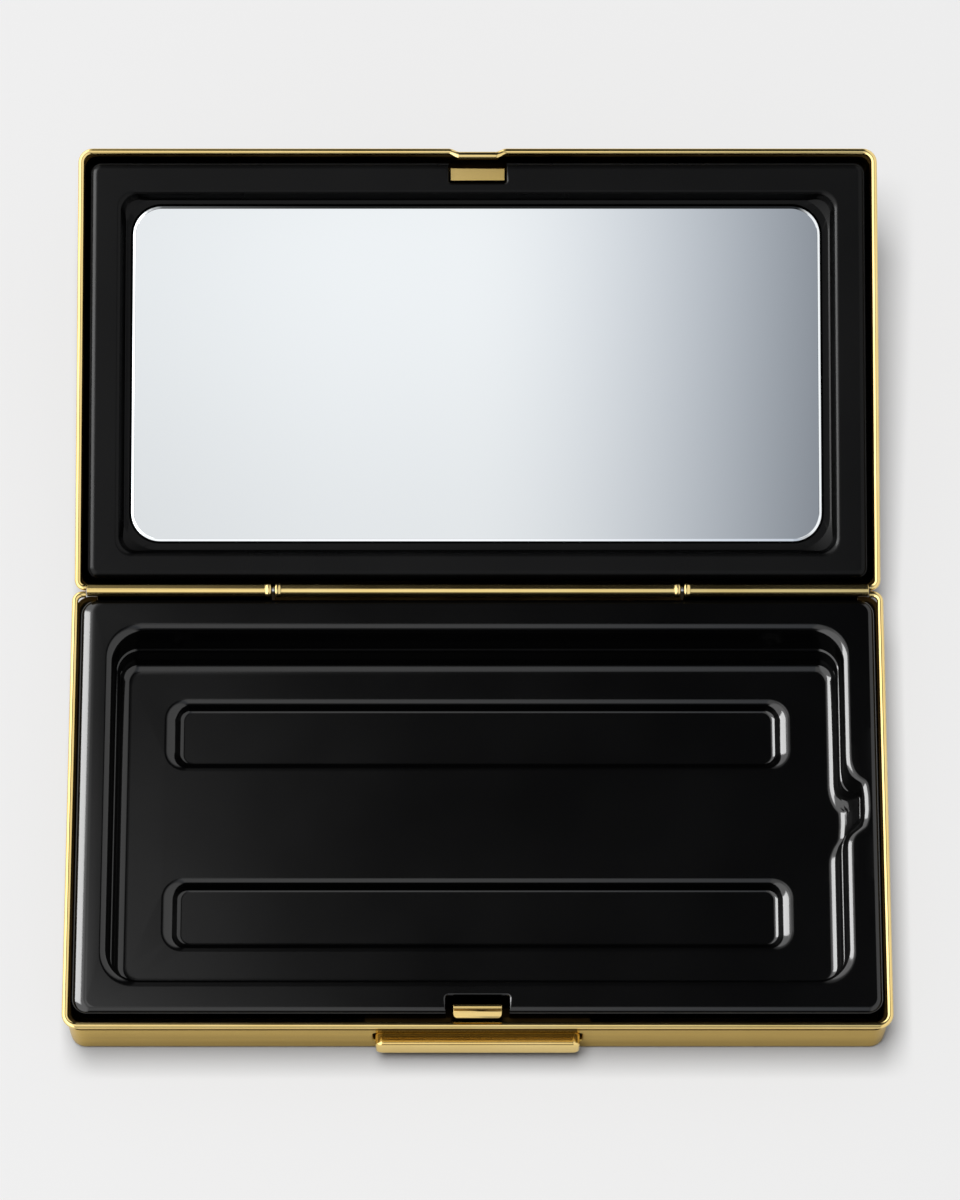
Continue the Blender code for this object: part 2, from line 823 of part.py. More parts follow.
def turn_lid(lid_pieces, collection):
    """Hang the lid's pieces on an empty on the hinge axis and open it to its stop."""
    hinge = add_object("lid_hinge_axis", None, collection)
    hinge.location = (0, hinge_y, axis_z)
    for piece in lid_pieces:
        piece.parent = hinge
        piece.matrix_parent_inverse = Matrix.Translation(-hinge.location)
    hinge.rotation_euler.x = -open_angle


def hang_cutters(pieces):
    """A cutter follows the piece that it shapes."""
    for piece in pieces:
        for step in piece.modifiers:
            if step.type == "BOOLEAN":
                step.object.parent = piece.parent
                step.object.matrix_parent_inverse = piece.matrix_parent_inverse.copy()


def main():
    clear_scene()
    parts = new_collection("makeup_compact")
    cutters = new_collection("makeup_compact_cutters")

    brass = material("polished_brass", (0.78, 0.56, 0.24), 0.16, 1)
    black = material("black_plastic", (0.012, 0.012, 0.013), 0.28, 0)
    steel = material("strip_steel", (0.55, 0.56, 0.58), 0.35, 1)
    silver = material("mirror_silver", (0.93, 0.94, 0.95), 0.02, 1)
    white = material("tape_foam", (0.85, 0.85, 0.82), 0.8, 0)

    base_brass = [
        make_base_shell(parts, cutters),
        make_base_rim(parts),
        knuckle("base_knuckle_left", *side_knuckle_span(-1), -1, parts, cutters),
        knuckle("base_knuckle_right", *side_knuckle_span(1), -1, parts, cutters),
        make_thumb_button(parts),
        make_latch_hook(parts),
    ]
    lid_brass = [
        make_lid_shell(parts, cutters),
        make_lid_rim(parts),
        knuckle("lid_knuckle", *middle_knuckle_span(), 1, parts, cutters),
        make_lid_catch(parts),
    ]
    base_tray = make_base_tray(parts, cutters)
    lid_frame = make_lid_frame(parts, cutters)
    mirror = make_mirror(parts)
    tape = make_mirror_tape(parts)
    steel_pieces = [make_hinge_pin(parts), make_latch_slide(parts, cutters)]
    steel_pieces += [make_magnet_strip(word, y, parts) for word, y in pocket_middles()]
    steel_pieces.append(make_latch_bracket(parts, cutters))
    for word, side in (("left", -1), ("right", 1)):
        steel_pieces.append(make_latch_spring(word, side * spring_place, parts))
        steel_pieces.append(make_latch_rivet(word, side * rivet_place, parts, cutters))

    for piece in base_brass + lid_brass:
        dress(piece, brass)
    for piece in (base_tray, lid_frame):
        dress(piece, black)
    for piece in steel_pieces:
        dress(piece, steel)
    dress(mirror, silver)
    dress(tape, white)

    for cutter in cutters.objects:
        cutter.hide_render = True
        cutter.display_type = "WIRE"
    turn_lid(lid_brass + [lid_frame, mirror, tape], parts)
    hang_cutters(lid_brass + [lid_frame])


main()
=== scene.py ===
import math

import bmesh
import bpy
import numpy as np
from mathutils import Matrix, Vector


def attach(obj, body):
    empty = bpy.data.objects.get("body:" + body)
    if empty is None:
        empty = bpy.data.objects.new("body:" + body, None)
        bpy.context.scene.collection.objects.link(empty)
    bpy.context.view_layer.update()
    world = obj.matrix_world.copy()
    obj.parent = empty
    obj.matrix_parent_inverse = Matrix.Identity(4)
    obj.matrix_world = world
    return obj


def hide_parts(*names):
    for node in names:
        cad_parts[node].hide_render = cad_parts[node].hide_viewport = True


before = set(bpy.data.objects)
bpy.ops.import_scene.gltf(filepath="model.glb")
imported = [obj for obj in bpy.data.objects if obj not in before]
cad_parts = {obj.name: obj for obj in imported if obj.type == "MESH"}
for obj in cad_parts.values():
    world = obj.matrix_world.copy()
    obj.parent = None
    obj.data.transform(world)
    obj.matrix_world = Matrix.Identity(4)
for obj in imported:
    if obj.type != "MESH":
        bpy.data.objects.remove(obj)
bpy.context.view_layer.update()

# Lengths are in millimetres, and so are the pieces until they are finished and brought to metres.
# An inset is measured inwards from the outside of the rim, at the sides, the front and the rear.
mm = 0.001
close = 0.001  # points nearer than this are at the same place
case = {
    "width": 100, "lidWidth": 99.4, "front": -27.7, "hinge": 27.7, "rim": 11.5, "lidRim": 11.8,
    "axis": 11.65, "open": 168, "cornerSteps": 12,
}


# Mesh tools

def objectMode():
    if bpy.context.mode != "OBJECT":
        bpy.ops.object.mode_set(mode="OBJECT")
    bpy.ops.object.select_all(action="DESELECT")


def pickOnly(*pieces):
    objectMode()
    for piece in pieces:
        piece.select_set(True)
    bpy.context.view_layer.objects.active = pieces[0]


def editMode(piece, kind="VERT"):
    pickOnly(piece)
    bpy.ops.object.mode_set(mode="EDIT")
    bpy.ops.mesh.select_mode(type=kind)
    bpy.ops.mesh.select_all(action="DESELECT")
    return bmesh.from_edit_mesh(piece.data)


def nameIt(piece, name):
    piece.name = piece.data.name = name
    return piece


def isAt(value, spot):
    return abs(value - spot) < close


def pickedVerts(piece):
    return [vert for vert in bmesh.from_edit_mesh(piece.data).verts if vert.select]


def allPlaces(piece):
    return {tuple(vert.co) for vert in bmesh.from_edit_mesh(piece.data).verts}


def pickVerts(piece, test):
    grid = bmesh.from_edit_mesh(piece.data)
    for vert in grid.verts:
        vert.select = False
    for vert in grid.verts:
        if test(vert.co):
            vert.select = True
    grid.select_flush_mode()
    bmesh.update_edit_mesh(piece.data)


def pickPlaces(piece, places):
    pickVerts(piece, lambda co: tuple(co) in places)


def pickEdges(piece, test):
    grid = bmesh.from_edit_mesh(piece.data)
    for edge in grid.edges:
        edge.select_set(False)
    for edge in grid.edges:
        if test(edge):
            edge.select_set(True)
    bmesh.update_edit_mesh(piece.data)


def pickFaces(piece, test):
    grid = bmesh.from_edit_mesh(piece.data)
    grid.normal_update()
    for face in grid.faces:
        face.select_set(False)
    for face in grid.faces:
        if test(face):
            face.select_set(True)
    bmesh.update_edit_mesh(piece.data)


def applyAll(piece):
    pickOnly(piece)
    for step in list(piece.modifiers):
        bpy.ops.object.modifier_apply(modifier=step.name)


def finishShape(piece, angle=40):
    # to metres; flats keep their own normals, so long reflections stay straight beside a rounding
    pickOnly(piece)
    bpy.ops.transform.resize(value=(mm, mm, mm), center_override=(0, 0, 0))
    bpy.ops.object.transform_apply(location=True, rotation=True, scale=True)
    bpy.ops.object.shade_smooth_by_angle(angle=math.radians(angle))
    weigh = piece.modifiers.new("Flats", "WEIGHTED_NORMAL")
    weigh.keep_sharp = True
    weigh.weight = 100
    applyAll(piece)


def faceOutwards(piece):
    editMode(piece)
    bpy.ops.mesh.select_all(action="SELECT")
    bpy.ops.mesh.remove_doubles(threshold=close / 2)
    bpy.ops.mesh.normals_make_consistent(inside=False)
    objectMode()


def cut(piece, cutter, operation="DIFFERENCE"):
    faceOutwards(cutter)
    step = piece.modifiers.new("Cut", "BOOLEAN")
    step.operation = operation
    step.object = cutter
    step.solver = "EXACT"
    applyAll(piece)
    bpy.data.objects.remove(cutter, do_unlink=True)


def openLid(piece):
    # modelled closed, then turned back about the hinge (with no window the turn runs the other way)
    pickOnly(piece)
    centre, turn = (0, case["hinge"], case["axis"]), math.radians(case["open"])
    bpy.ops.transform.rotate(value=turn, orient_axis="X", center_override=centre)
    bpy.ops.object.transform_apply(location=True, rotation=True, scale=True)


def insetBox(width, insets, run=0.0):
    side, front, rear = insets
    half = width / 2 - side - run
    return (-half, half, case["front"] + front + run, case["hinge"] - rear - run)


def grownBox(box, amount):
    return (box[0] - amount, box[1] + amount, box[2] - amount, box[3] + amount)


def roundCorners(offset, steps):
    bpy.ops.mesh.bevel(offset=offset, offset_type="OFFSET", segments=steps, affect="VERTICES")


def addRing(piece, box, height, corner, more=None):
    # one rounded rectangle of edges, added to the mesh in edit mode
    left, right, front, rear = box
    middle = ((left + right) / 2, (front + rear) / 2, height)
    bpy.ops.mesh.primitive_plane_add(size=1, location=middle)
    bpy.ops.transform.resize(value=(right - left, rear - front, 1), center_override=middle)
    roundCorners(corner, case["cornerSteps"])
    if more:
        more()
    pickFaces(piece, lambda face: len(face.verts) > 4 and isAt(face.calc_center_median().z, height))
    bpy.ops.mesh.delete(type="ONLY_FACE")


def nudged(rings):
    # two rings at one height are set a hair apart, because a bridge between level rings can twist
    limit, apart = 0.0015, 0.002
    made = []
    for ring in rings:
        ring = list(ring)
        if made and abs(ring[1] - made[-1][1]) < limit:
            ring[1] = made[-1][1] - apart
        made.append(ring)
    return made


def addSkin(piece, rings, addOne):
    # rings of edges at their places, bridged pair by pair; tells where each ring's points are
    places, known = [], allPlaces(piece)
    for ring in rings:
        bpy.ops.mesh.select_all(action="DESELECT")
        addOne(piece, *ring)
        every = allPlaces(piece)
        places.append(every - known)
        known = every
    for first, second in zip(places, places[1:]):
        pickPlaces(piece, first | second)
        bpy.ops.mesh.bridge_edge_loops()
    return places


def stackRings(name, rings, addOne):
    objectMode()
    bpy.ops.mesh.primitive_plane_add(size=1)
    piece = nameIt(bpy.context.object, name)
    bpy.ops.object.mode_set(mode="EDIT")
    bpy.ops.mesh.select_mode(type="VERT")
    bpy.ops.mesh.select_all(action="SELECT")
    bpy.ops.mesh.delete(type="VERT")
    return piece, addSkin(piece, rings, addOne)


def capRing(piece, places):
    pickPlaces(piece, places)
    bpy.ops.mesh.edge_face_add()


def solidOfRings(name, rings, addOne=addRing):
    piece, places = stackRings(name, nudged(rings), addOne)
    capRing(piece, places[0])
    capRing(piece, places[-1])
    faceOutwards(piece)
    return piece


def quarter(start, radius, first, last, steps):
    # (run, height) along a round, from one tilt to another, about a centre
    run, height = start
    turn = [math.radians(first + (last - first) * step / steps) for step in range(steps + 1)]
    return [(run + radius * math.cos(angle), height + radius * math.sin(angle)) for angle in turn]


def ringsAlong(width, insets, corner, rows, least=0.15):
    # the same outline at each (run inwards, height), its corners shrinking with the run
    return [(insetBox(width, insets, run), height, max(corner - run, least)) for run, height in rows]


def profileBar(name, points, left, right, edge, steps):
    # an outline in Y and Z, extruded along X, with its edges rounded
    objectMode()
    bpy.ops.mesh.primitive_circle_add(vertices=len(points), radius=1, fill_type="NGON")
    piece = nameIt(bpy.context.object, name)
    for vert, (y, z) in zip(piece.data.vertices, points):
        vert.co = (left, y, z)
    editMode(piece)
    bpy.ops.mesh.select_all(action="SELECT")
    bpy.ops.mesh.extrude_region_move(TRANSFORM_OT_translate={"value": (right - left, 0, 0)})
    bpy.ops.mesh.select_all(action="SELECT")
    bpy.ops.mesh.normals_make_consistent(inside=False)
    bpy.ops.mesh.select_mode(type="EDGE")
    pickEdges(piece, lambda e: e.calc_face_angle(0) > math.radians(25))
    bpy.ops.mesh.bevel(offset=edge, segments=steps, affect="EDGES", clamp_overlap=True)
    objectMode()
    return piece


def place(piece, body, slot, *nodes):
    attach(piece, body)
    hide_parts(*nodes)


# Finishes

noiseEnds = (0.3, 0.7)  # a noise mostly stays between these


def newFinish(name, colour, roughness, metallic=0.0):
    made = bpy.data.materials.new(name)
    made.use_nodes = True
    shader = made.node_tree.nodes["Principled BSDF"]
    shader.inputs["Base Color"].default_value = (*colour, 1)
    shader.inputs["Roughness"].default_value = roughness
    shader.inputs["Metallic"].default_value = metallic
    return made, made.node_tree.nodes, made.node_tree.links, shader


def addNoise(nodes, links, scale, detail=3.0, stretch=(1, 1, 1)):
    where = nodes.new("ShaderNodeTexCoord")
    turn = nodes.new("ShaderNodeMapping")
    turn.inputs["Scale"].default_value = stretch
    noise = nodes.new("ShaderNodeTexNoise")
    noise.inputs["Scale"].default_value = scale
    noise.inputs["Detail"].default_value = detail
    links.new(where.outputs["Object"], turn.inputs["Vector"])
    links.new(turn.outputs["Vector"], noise.inputs["Vector"])
    return noise.outputs["Fac"]


def addRange(nodes, links, value, ends, levels, kind):
    step = nodes.new("ShaderNodeMapRange")
    step.interpolation_type = kind
    for name, number in zip(("From Min", "From Max", "To Min", "To Max"), (*ends, *levels)):
        step.inputs[name].default_value = number
    links.new(value, step.inputs["Value"])
    return step.outputs["Result"]


def spread(nodes, links, value, low, high):
    return addRange(nodes, links, value, noiseEnds, (low, high), "LINEAR")


def tint(nodes, links, value, low, high):
    ramp = nodes.new("ShaderNodeValToRGB")
    for stop, position, colour in zip(ramp.color_ramp.elements, noiseEnds, (low, high)):
        stop.position, stop.color = position, (*colour, 1)
    links.new(value, ramp.inputs["Fac"])
    return ramp.outputs["Color"]


def bump(nodes, links, heights, shader):
    last = None
    for value, strength, depth in heights:
        step = nodes.new("ShaderNodeBump")
        step.inputs["Strength"].default_value = strength
        step.inputs["Distance"].default_value = depth * mm
        links.new(value, step.inputs["Height"])
        if last:
            links.new(last, step.inputs["Normal"])
        last = step.outputs["Normal"]
    links.new(last, shader.inputs["Normal"])


def makeBrass(name, colour, deep, roughness, drawn=False):
    # cloudy variation, or long streaks where the sheet was drawn
    made, nodes, links, shader = newFinish(name, colour, roughness, 1)
    if drawn:
        shader.inputs["Specular Tint"].default_value = (1, 0.88, 0.58, 1)
        cloud = addNoise(nodes, links, 520, 1, (0.02, 0.02, 1))
    else:
        shader.inputs["Specular Tint"].default_value = (1, 0.92, 0.68, 1)
        cloud = addNoise(nodes, links, 90)
    rough = spread(nodes, links, cloud, roughness * 0.8, roughness * 1.3)
    dents = addNoise(nodes, links, 160)
    lines = addNoise(nodes, links, 900, 2, (0.12, 1, 1))
    links.new(tint(nodes, links, cloud, deep, colour), shader.inputs["Base Color"])
    links.new(rough, shader.inputs["Roughness"])
    bump(nodes, links, [(dents, 0.2, 0.002), (lines, 0.03, 0.0005)], shader)
    return made


def makeBlack(name, gloss, roughness):
    made, nodes, links, shader = newFinish(name, (0.001, 0.001, 0.0011), roughness)
    shader.inputs["Specular IOR Level"].default_value = gloss
    cloud = addNoise(nodes, links, 60, 4)
    shade = tint(nodes, links, cloud, (0.0008, 0.0008, 0.0009), (0.0012, 0.0012, 0.0013))
    rough = spread(nodes, links, cloud, roughness * 0.9, roughness * 1.1)
    links.new(shade, shader.inputs["Base Color"])
    links.new(rough, shader.inputs["Roughness"])
    bump(nodes, links, [(addNoise(nodes, links, 260, 1), 0.2, 0.002)], shader)
    return made


def makeMirror(name):
    made, nodes, links, shader = newFinish(name, (0.9, 0.935, 0.96), 0.012, 1)
    rough = spread(nodes, links, addNoise(nodes, links, 70), 0.008, 0.02)
    links.new(rough, shader.inputs["Roughness"])
    return made


def makeSteel(name, colour, stretch):
    made, nodes, links, shader = newFinish(name, colour, 0.3, 1)
    grain = addNoise(nodes, links, 1500, 3, stretch)
    shade = tint(nodes, links, grain, [part * 0.82 for part in colour], colour)
    links.new(spread(nodes, links, grain, 0.24, 0.4), shader.inputs["Roughness"])
    links.new(shade, shader.inputs["Base Color"])
    bump(nodes, links, [(grain, 0.3, 0.002)], shader)
    return made


def makeFoam(name):
    made, nodes, links, shader = newFinish(name, (0.8, 0.8, 0.77), 0.85)
    cells = addNoise(nodes, links, 2500, 3)
    shade = tint(nodes, links, cells, (0.7, 0.7, 0.66), (0.84, 0.84, 0.81))
    links.new(shade, shader.inputs["Base Color"])
    bump(nodes, links, [(cells, 0.6, 0.05)], shader)
    return made


# brass: colour, deeper colour, roughness; black: gloss, roughness; steel: colour, stretch of its grain
brass = makeBrass("polishedBrass", (0.88, 0.68, 0.3), (0.83, 0.61, 0.23), 0.1)
drawnBrass = makeBrass("drawnBrass", (0.58, 0.4, 0.125), (0.43, 0.275, 0.07), 0.2, drawn=True)
latchBrass = makeBrass("latchBrass", (0.86, 0.64, 0.26), (0.8, 0.57, 0.2), 0.1)
catchBrass = makeBrass("catchBrass", (0.74, 0.54, 0.2), (0.66, 0.47, 0.15), 0.18)
# near-black brass: painted shade inside the shells and in the groove under the rim
shadeBrass = makeBrass("shadeBrass", (0.07, 0.042, 0.014), (0.04, 0.024, 0.007), 0.45)
black = makeBlack("glossyBlack", 0.6, 0.13)
frameBlack = makeBlack("satinBlack", 0.15, 0.28)
mirrorSilver = makeMirror("mirrorSilver")
stripSteel = makeSteel("stripSteel", (0.56, 0.57, 0.59), (0.1, 1, 1))
springSteel = makeSteel("springSteel", (0.6, 0.61, 0.62), (1, 1, 1))
pinSteel = makeSteel("pinSteel", (0.55, 0.56, 0.57), (0.1, 1, 1))
tapeFoam = makeFoam("tapeFoam")
print("finishes made")


def dress(piece, finish):
    piece.data.materials.clear()
    piece.data.materials.append(finish)
    return piece


# Refill tray of the base

tray = {
    "edge": (1.06, 1.85, 0.9), "corner": 1.5, "top": 11.2, "round": 0.9, "leftRound": 2.1,
    "skirt": (1.55, 1.95, 1.4), "skirtEnd": 8.4, "skirtWall": 0.45, "skirtCorners": (1.5, 0.9),
    "wall": 0.8, "under": 2.4, "mouth": (4.28, 5.15, 4.1), "mouthCorner": 4.2, "mouthShrink": 0.35,
    "lip": 1.0, "draft": (1.68, 1.6, 3.3), "foot": 1.1, "footStart": 192,
    "floor": 4.3, "floorCorner": 1.3, "floorRim": 0.3,
    # depth below the flange, and the shares of the draft at the sides and at the ends; the steep
    # rows in the middle are the narrow ledge on the side walls
    "wallRows": (
        (1.8, 0.02, 0.13), (2.8, 0.04, 0.25), (3.45, 0.05, 0.32), (3.56, 0.065, 0.335),
        (3.64, 0.1, 0.35), (3.7, 0.15, 0.365), (3.77, 0.19, 0.39), (3.86, 0.21, 0.415),
        (4.05, 0.22, 0.455), (4.2, 0.225, 0.47), (5.2, 0.245, 0.545), (5.85, 0.26, 0.6),
    ),
    "notch": {"half": 3.85, "back": 4.07, "end": 7},
}
finger = {
    # how far the right wall is pushed out at each Y, at three depths
    "mouth": (
        (-4.9, 0), (-4.3, 0.06), (-3.83, 0.25), (-3.32, 0.9), (-2.69, 1.68), (-1.55, 2.06),
        (-0.15, 2.18), (1.62, 2.14), (2.89, 1.98), (3.4, 1.78), (3.78, 1.33), (4.1, 0.72),
        (4.68, 0.35), (5.57, 0.06), (6.4, 0),
    ),
    "ledge": (
        (-4.6, 0), (-3.6, 0.1), (-2.82, 0.34), (-2.0, 1.1), (-1.2, 2.0), (-0.6, 2.3), (2.3, 2.34),
        (2.9, 2.1), (3.2, 1.2), (3.6, 0.35), (4.4, 0.05), (5.2, 0),
    ),
    "floor": (
        (-5.2, 0), (-4.59, 0.06), (-3.45, 0.5), (-3.07, 0.8), (-2.3, 1.17), (-0.39, 1.32),
        (1.0, 1.3), (1.61, 1.22), (2.05, 0.75), (2.69, 0.4), (3.6, 0.12), (4.5, 0),
    ),
    "depths": (0.7, 4.0, 6.5), "soften": 0.22, "reach": 9, "step": 0.05, "along": 0.6,
    # cuts along the right wall, and more between the points at the notch, from first to last
    "cuts": (9, 24), "dense": (3, 8),
}
pocket = {
    "half": 38.75, "width": 9.4, "middles": (-11.7, 11.3), "depth": 1.4, "slopes": (2.5, 1.5),
    "corner": 2.7, "floorCorner": 1.0, "tilt": 60, "lip": 1.25, "foot": 0.5,
}


def pocketRows():
    # (run, depth) down the slope: a rounded lip, a straight, a smaller round at the foot
    lip, foot, tilt = pocket["lip"], pocket["foot"], math.radians(pocket["tilt"])
    rows = quarter((0, lip), lip, 270, 270 + pocket["tilt"], 9)
    straight = pocket["depth"] - (lip + foot) * (1 - math.cos(tilt))
    run = (lip + foot) * math.sin(tilt) + straight / math.tan(tilt)
    low = quarter((run, pocket["depth"] - foot), foot, 90 + pocket["tilt"], 90, 7)
    return [(along / run, deep) for along, deep in rows + low]


def softTable(rows):
    # the push at close steps of Y, its corners blurred
    step, most = finger["step"], 20
    along = np.arange(-finger["reach"], finger["reach"], step)
    push = np.interp(along, [y for y, _ in rows], [out for _, out in rows])
    blur = np.exp(-0.5 * (np.arange(-most, most + 1) * step / finger["soften"]) ** 2)
    return along, np.convolve(push, blur / blur.sum(), mode="same")


fingerTables = [softTable(finger[name]) for name in ("mouth", "ledge", "floor")]


def fingerPush(y, depth):
    pushes = [np.interp(y, *table) for table in fingerTables]
    return float(np.interp(depth, finger["depths"], pushes))


def pushFinger(vert, run, depth):
    # outwards, and square to the pushed outline where the wall is rounded
    y, step = vert.co.y, finger["step"]
    slope = (fingerPush(y + step, depth) - fingerPush(y - step, depth)) / (2 * step)
    across = 1 / math.hypot(1, slope)
    along = min(max(run, 0), finger["along"])
    vert.co.x += fingerPush(y, depth) + along * (1 - across)
    vert.co.y += along * slope * across


def addTrayRing(piece, box, height, corner, run=None):
    # the right side gets close points, which the finger notch pushes out of line
    first, last = finger["dense"]

    def moreRight():
        pickVerts(piece, lambda co: isAt(co.z, height) and isAt(co.x, box[1]))
        bpy.ops.mesh.subdivide(number_cuts=finger["cuts"][0])
        line = sorted(pickedVerts(piece), key=lambda vert: vert.co.y)
        pickPlaces(piece, {tuple(vert.co) for vert in line[first:last]})
        bpy.ops.mesh.subdivide(number_cuts=finger["cuts"][1])
        if run is not None:
            for vert in pickedVerts(piece):
                pushFinger(vert, run, tray["top"] - height)

    addRing(piece, box, height, corner, more=moreRight)


def wellBox(run, sideShare, endShare, grow=0.0):
    insets = []
    for inset, draft, share in zip(tray["mouth"], tray["draft"], (sideShare, endShare, endShare)):
        insets.append(inset + share * draft)
    return grownBox(insetBox(case["width"], insets, run), grow)


def flangeRings():
    # the flange's outer edge, rounded more widely on the left
    edge, corner, rounding = tray["edge"], tray["corner"], tray["round"]
    foot = tray["top"] - rounding
    rings = [(insetBox(case["width"], edge, 0.08), foot - 0.1, corner)]
    rows = quarter((rounding, foot), rounding, 180, 90, 10)
    for box, height, radius in ringsAlong(case["width"], edge, corner + rounding / 2, rows):
        run = box[0] + case["width"] / 2 - edge[0]
        rings.append(((box[0] + run * (tray["leftRound"] - 1), *box[1:]), height, radius))
    return rings


def wellRings():
    # the rounded lip, the wall with its ledge, and the round foot that runs out into the floor
    top, lip, foot, floor = tray["top"], tray["lip"], tray["foot"], tray["floor"]
    mouth, low, shrink = tray["mouthCorner"], tray["floorCorner"], tray["mouthShrink"]
    rings = []
    for run, height in quarter((0, top - lip), lip, 90, 0, 10):
        rings.append((wellBox(run, 0, 0), height, mouth - run * shrink, run))
    side = tray["draft"][0]
    rows = list(tray["wallRows"])
    start = rows[-1][1:]
    for run, height in quarter((side, floor + foot), foot, tray["footStart"], 270, 11):
        share = run / side
        end = start[1] + (1 - start[1]) * (share - start[0]) / (1 - start[0])
        rows.append((top - height, share, end))
    for depth, share, end in rows:
        radius = mouth - shrink + (low - mouth + shrink) * end
        rings.append((wellBox(lip, share, end), top - depth, radius, lip + share * side))
    past = tray["floorRim"]
    rings.append((wellBox(lip + past, 1, 1), floor, low, lip + side + past))
    return rings


def trayRings():
    # up the well's outside, out under the flange, round its skirt, over the flange and down the well
    top, wall, lip, low = tray["top"], tray["wall"], tray["lip"], tray["under"]
    flange = top - wall - 0.25
    outsides = (
        # height, shares of the draft at the sides and the ends, corner and wall thickness
        (low, 1.0, 1.0, 1.6, wall - 0.25), (low + 0.3, 0.95, 0.95, 1.9, wall),
        (6.6, 0.2, 0.5, 3, wall), (9.4, 0.0, 0.15, 4, wall), (flange, 0.0, 0.0, 4.6, wall),
    )
    rings = []
    for height, share, end, corner, grow in outsides:
        rings.append((wellBox(lip, share, end, grow), height, corner, lip))
    outer, inner = tray["skirtCorners"]
    inside = insetBox(case["width"], tray["skirt"], tray["skirtWall"])
    outside = insetBox(case["width"], tray["skirt"])
    rings += [(inside, height, inner) for height in (flange, tray["skirtEnd"])]
    rings += [(outside, height, outer) for height in (tray["skirtEnd"], top - tray["round"] - 0.12)]
    return rings + flangeRings() + wellRings()


def addPocket(piece, middle):
    # the pocket's skin; tells where its mouth and its floor are
    rings = []
    for share, deep in pocketRows():
        half = pocket["half"] - share * pocket["slopes"][0]
        side = pocket["width"] / 2 - share * pocket["slopes"][1]
        radius = pocket["corner"] + (pocket["floorCorner"] - pocket["corner"]) * share
        box = (-half, half, middle - side, middle + side)
        rings.append((box, tray["floor"] - deep, radius))
    places = addSkin(piece, rings, addRing)
    return places[0], places[-1]


def makeTray():
    piece, places = stackRings("refillTray", nudged(trayRings()), addTrayRing)
    capRing(piece, places[0])
    pockets = [addPocket(piece, middle) for middle in pocket["middles"]]
    pickPlaces(piece, places[-1].union(*(mouth for mouth, _ in pockets)))
    bpy.ops.mesh.fill()
    for _, floor in pockets:
        capRing(piece, floor)
    faceOutwards(piece)
    cut(piece, notchCutter("trayNotch", tray["notch"], tray["top"], 1))
    finishShape(dress(piece, black))
    place(piece, "base", "tray_black", "base_tray")


def notchCutter(name, notch, face, way):
    # a notch from the front edge, with a small round at its mouth in the face
    flare, past, corner, steps = 0.28, 1.0, 0.35, 6
    rows = [(0.0, notch["end"])]
    for step in range(steps + 1):
        angle = math.radians(90 * step / steps)
        rows.append((flare * (1 - math.cos(angle)), face - way * flare * (1 - math.sin(angle))))
    rows.append((flare, face + way * past))
    rings = []
    for out, height in rows:
        half, back = notch["half"] + out, case["front"] + notch["back"] + out
        rings.append(((-half, half, case["front"] - past, back), height, corner + out))
    return solidOfRings(name, rings)


makeTray()
print("refill tray made")


# Shells of the case

baseShell = {
    "inset": 0.35, "corner": 1.9, "leastCorner": 0.4, "top": 10.3, "edge": 0.9, "wall": 0.7,
    # (run, height) of a pressed groove under the rim, and the band of it painted near-black as shade
    "groove": ((0, 9.32), (0.03, 9.26), (0.14, 9.17), (0.14, 8.95), (0.03, 8.83), (0, 8.78)),
    "shadedGroove": (8.8, 9.28),
    "leafNotch": {"deep": 1.6, "low": 8.0, "high": 11.5}, "leafEnds": (25.075, 46.95),
}
lidShell = {
    "inset": 0.35, "corner": 1.9, "leastCorner": 0.4, "foot": 13.0, "top": 17.1, "edge": 2.0,
    "wall": 0.45, "leafNotch": {"deep": 1.35, "low": 11.8, "high": 15.3}, "leafEnd": 25.325,
}
opening = {
    "half": 12.65, "low": 3.0, "high": 7.6, "corner": 1.2, "roll": 0.22, "face": -27.35,
    "back": -25.5, "ahead": -28.4,
}


def shellRings(width, shell, brim, closed):
    # inside from the closed face to the brim, then outside and back; way is up or down
    way = 1 if closed > brim else -1
    wall, edge = shell["wall"], shell["edge"]
    outer = [(wall - 0.15, brim), (0.12, brim), (0.035, brim + way * 0.035), (0, brim + way * 0.12)]
    outer += list(shell.get("groove", ()))
    for run, height in quarter((edge, 0), edge, 180, 90, 10):
        outer.append((run, closed - way * (edge - height)))
    least = 0.2
    inside, face = max(edge - wall, least), closed - way * wall
    inner = [(wall, brim + way * 0.15)]
    for run, height in quarter((inside, 0), inside, 180, 90, 6):
        inner.append((wall + run, face - way * (inside - height)))
    insets = (shell["inset"],) * 3
    return ringsAlong(width, insets, shell["corner"], inner[::-1] + outer, shell["leastCorner"])


def makeShell(name, width, shell, brim, closed):
    # drawn brass outside; inside and in the groove, near-black brass that paints the shade there
    piece = solidOfRings(name, shellRings(width, shell, brim, closed))
    dress(piece, drawnBrass).data.materials.append(shadeBrass)
    way = 1 if brim > closed else -1
    editMode(piece, "FACE")
    pickFaces(piece, lambda face: isShadeFace(face, way))
    piece.active_material_index = 1
    bpy.ops.object.material_slot_assign()
    objectMode()
    return piece


# the faces inside the shell and the band in the groove, which get the painted shade
def isShadeFace(face, way):
    spot, normal = face.calc_center_median(), face.normal
    low, high = baseShell["shadedGroove"]
    inGroove = low < spot.z < high and way > 0
    return inGroove or normal.z * way > 0.5 or normal.x * spot.x + normal.y * spot.y < -1


def cutLeafNotch(piece, span, notch):
    box, corner = (*span, case["hinge"] - notch["deep"], case["hinge"]), 0.2
    rings = [(box, height, corner) for height in (notch["low"], notch["high"])]
    cut(piece, solidOfRings("leafNotch", rings))


def makeBaseShell():
    piece = makeShell("caseBase", case["width"], baseShell, baseShell["top"], 0.0)
    for side in (-1, 1):
        span = sorted(side * end for end in baseShell["leafEnds"])
        cutLeafNotch(piece, span, baseShell["leafNotch"])
    cut(piece, openingCutter())
    finishShape(piece)
    place(piece, "base", "case_brass", "base_shell")


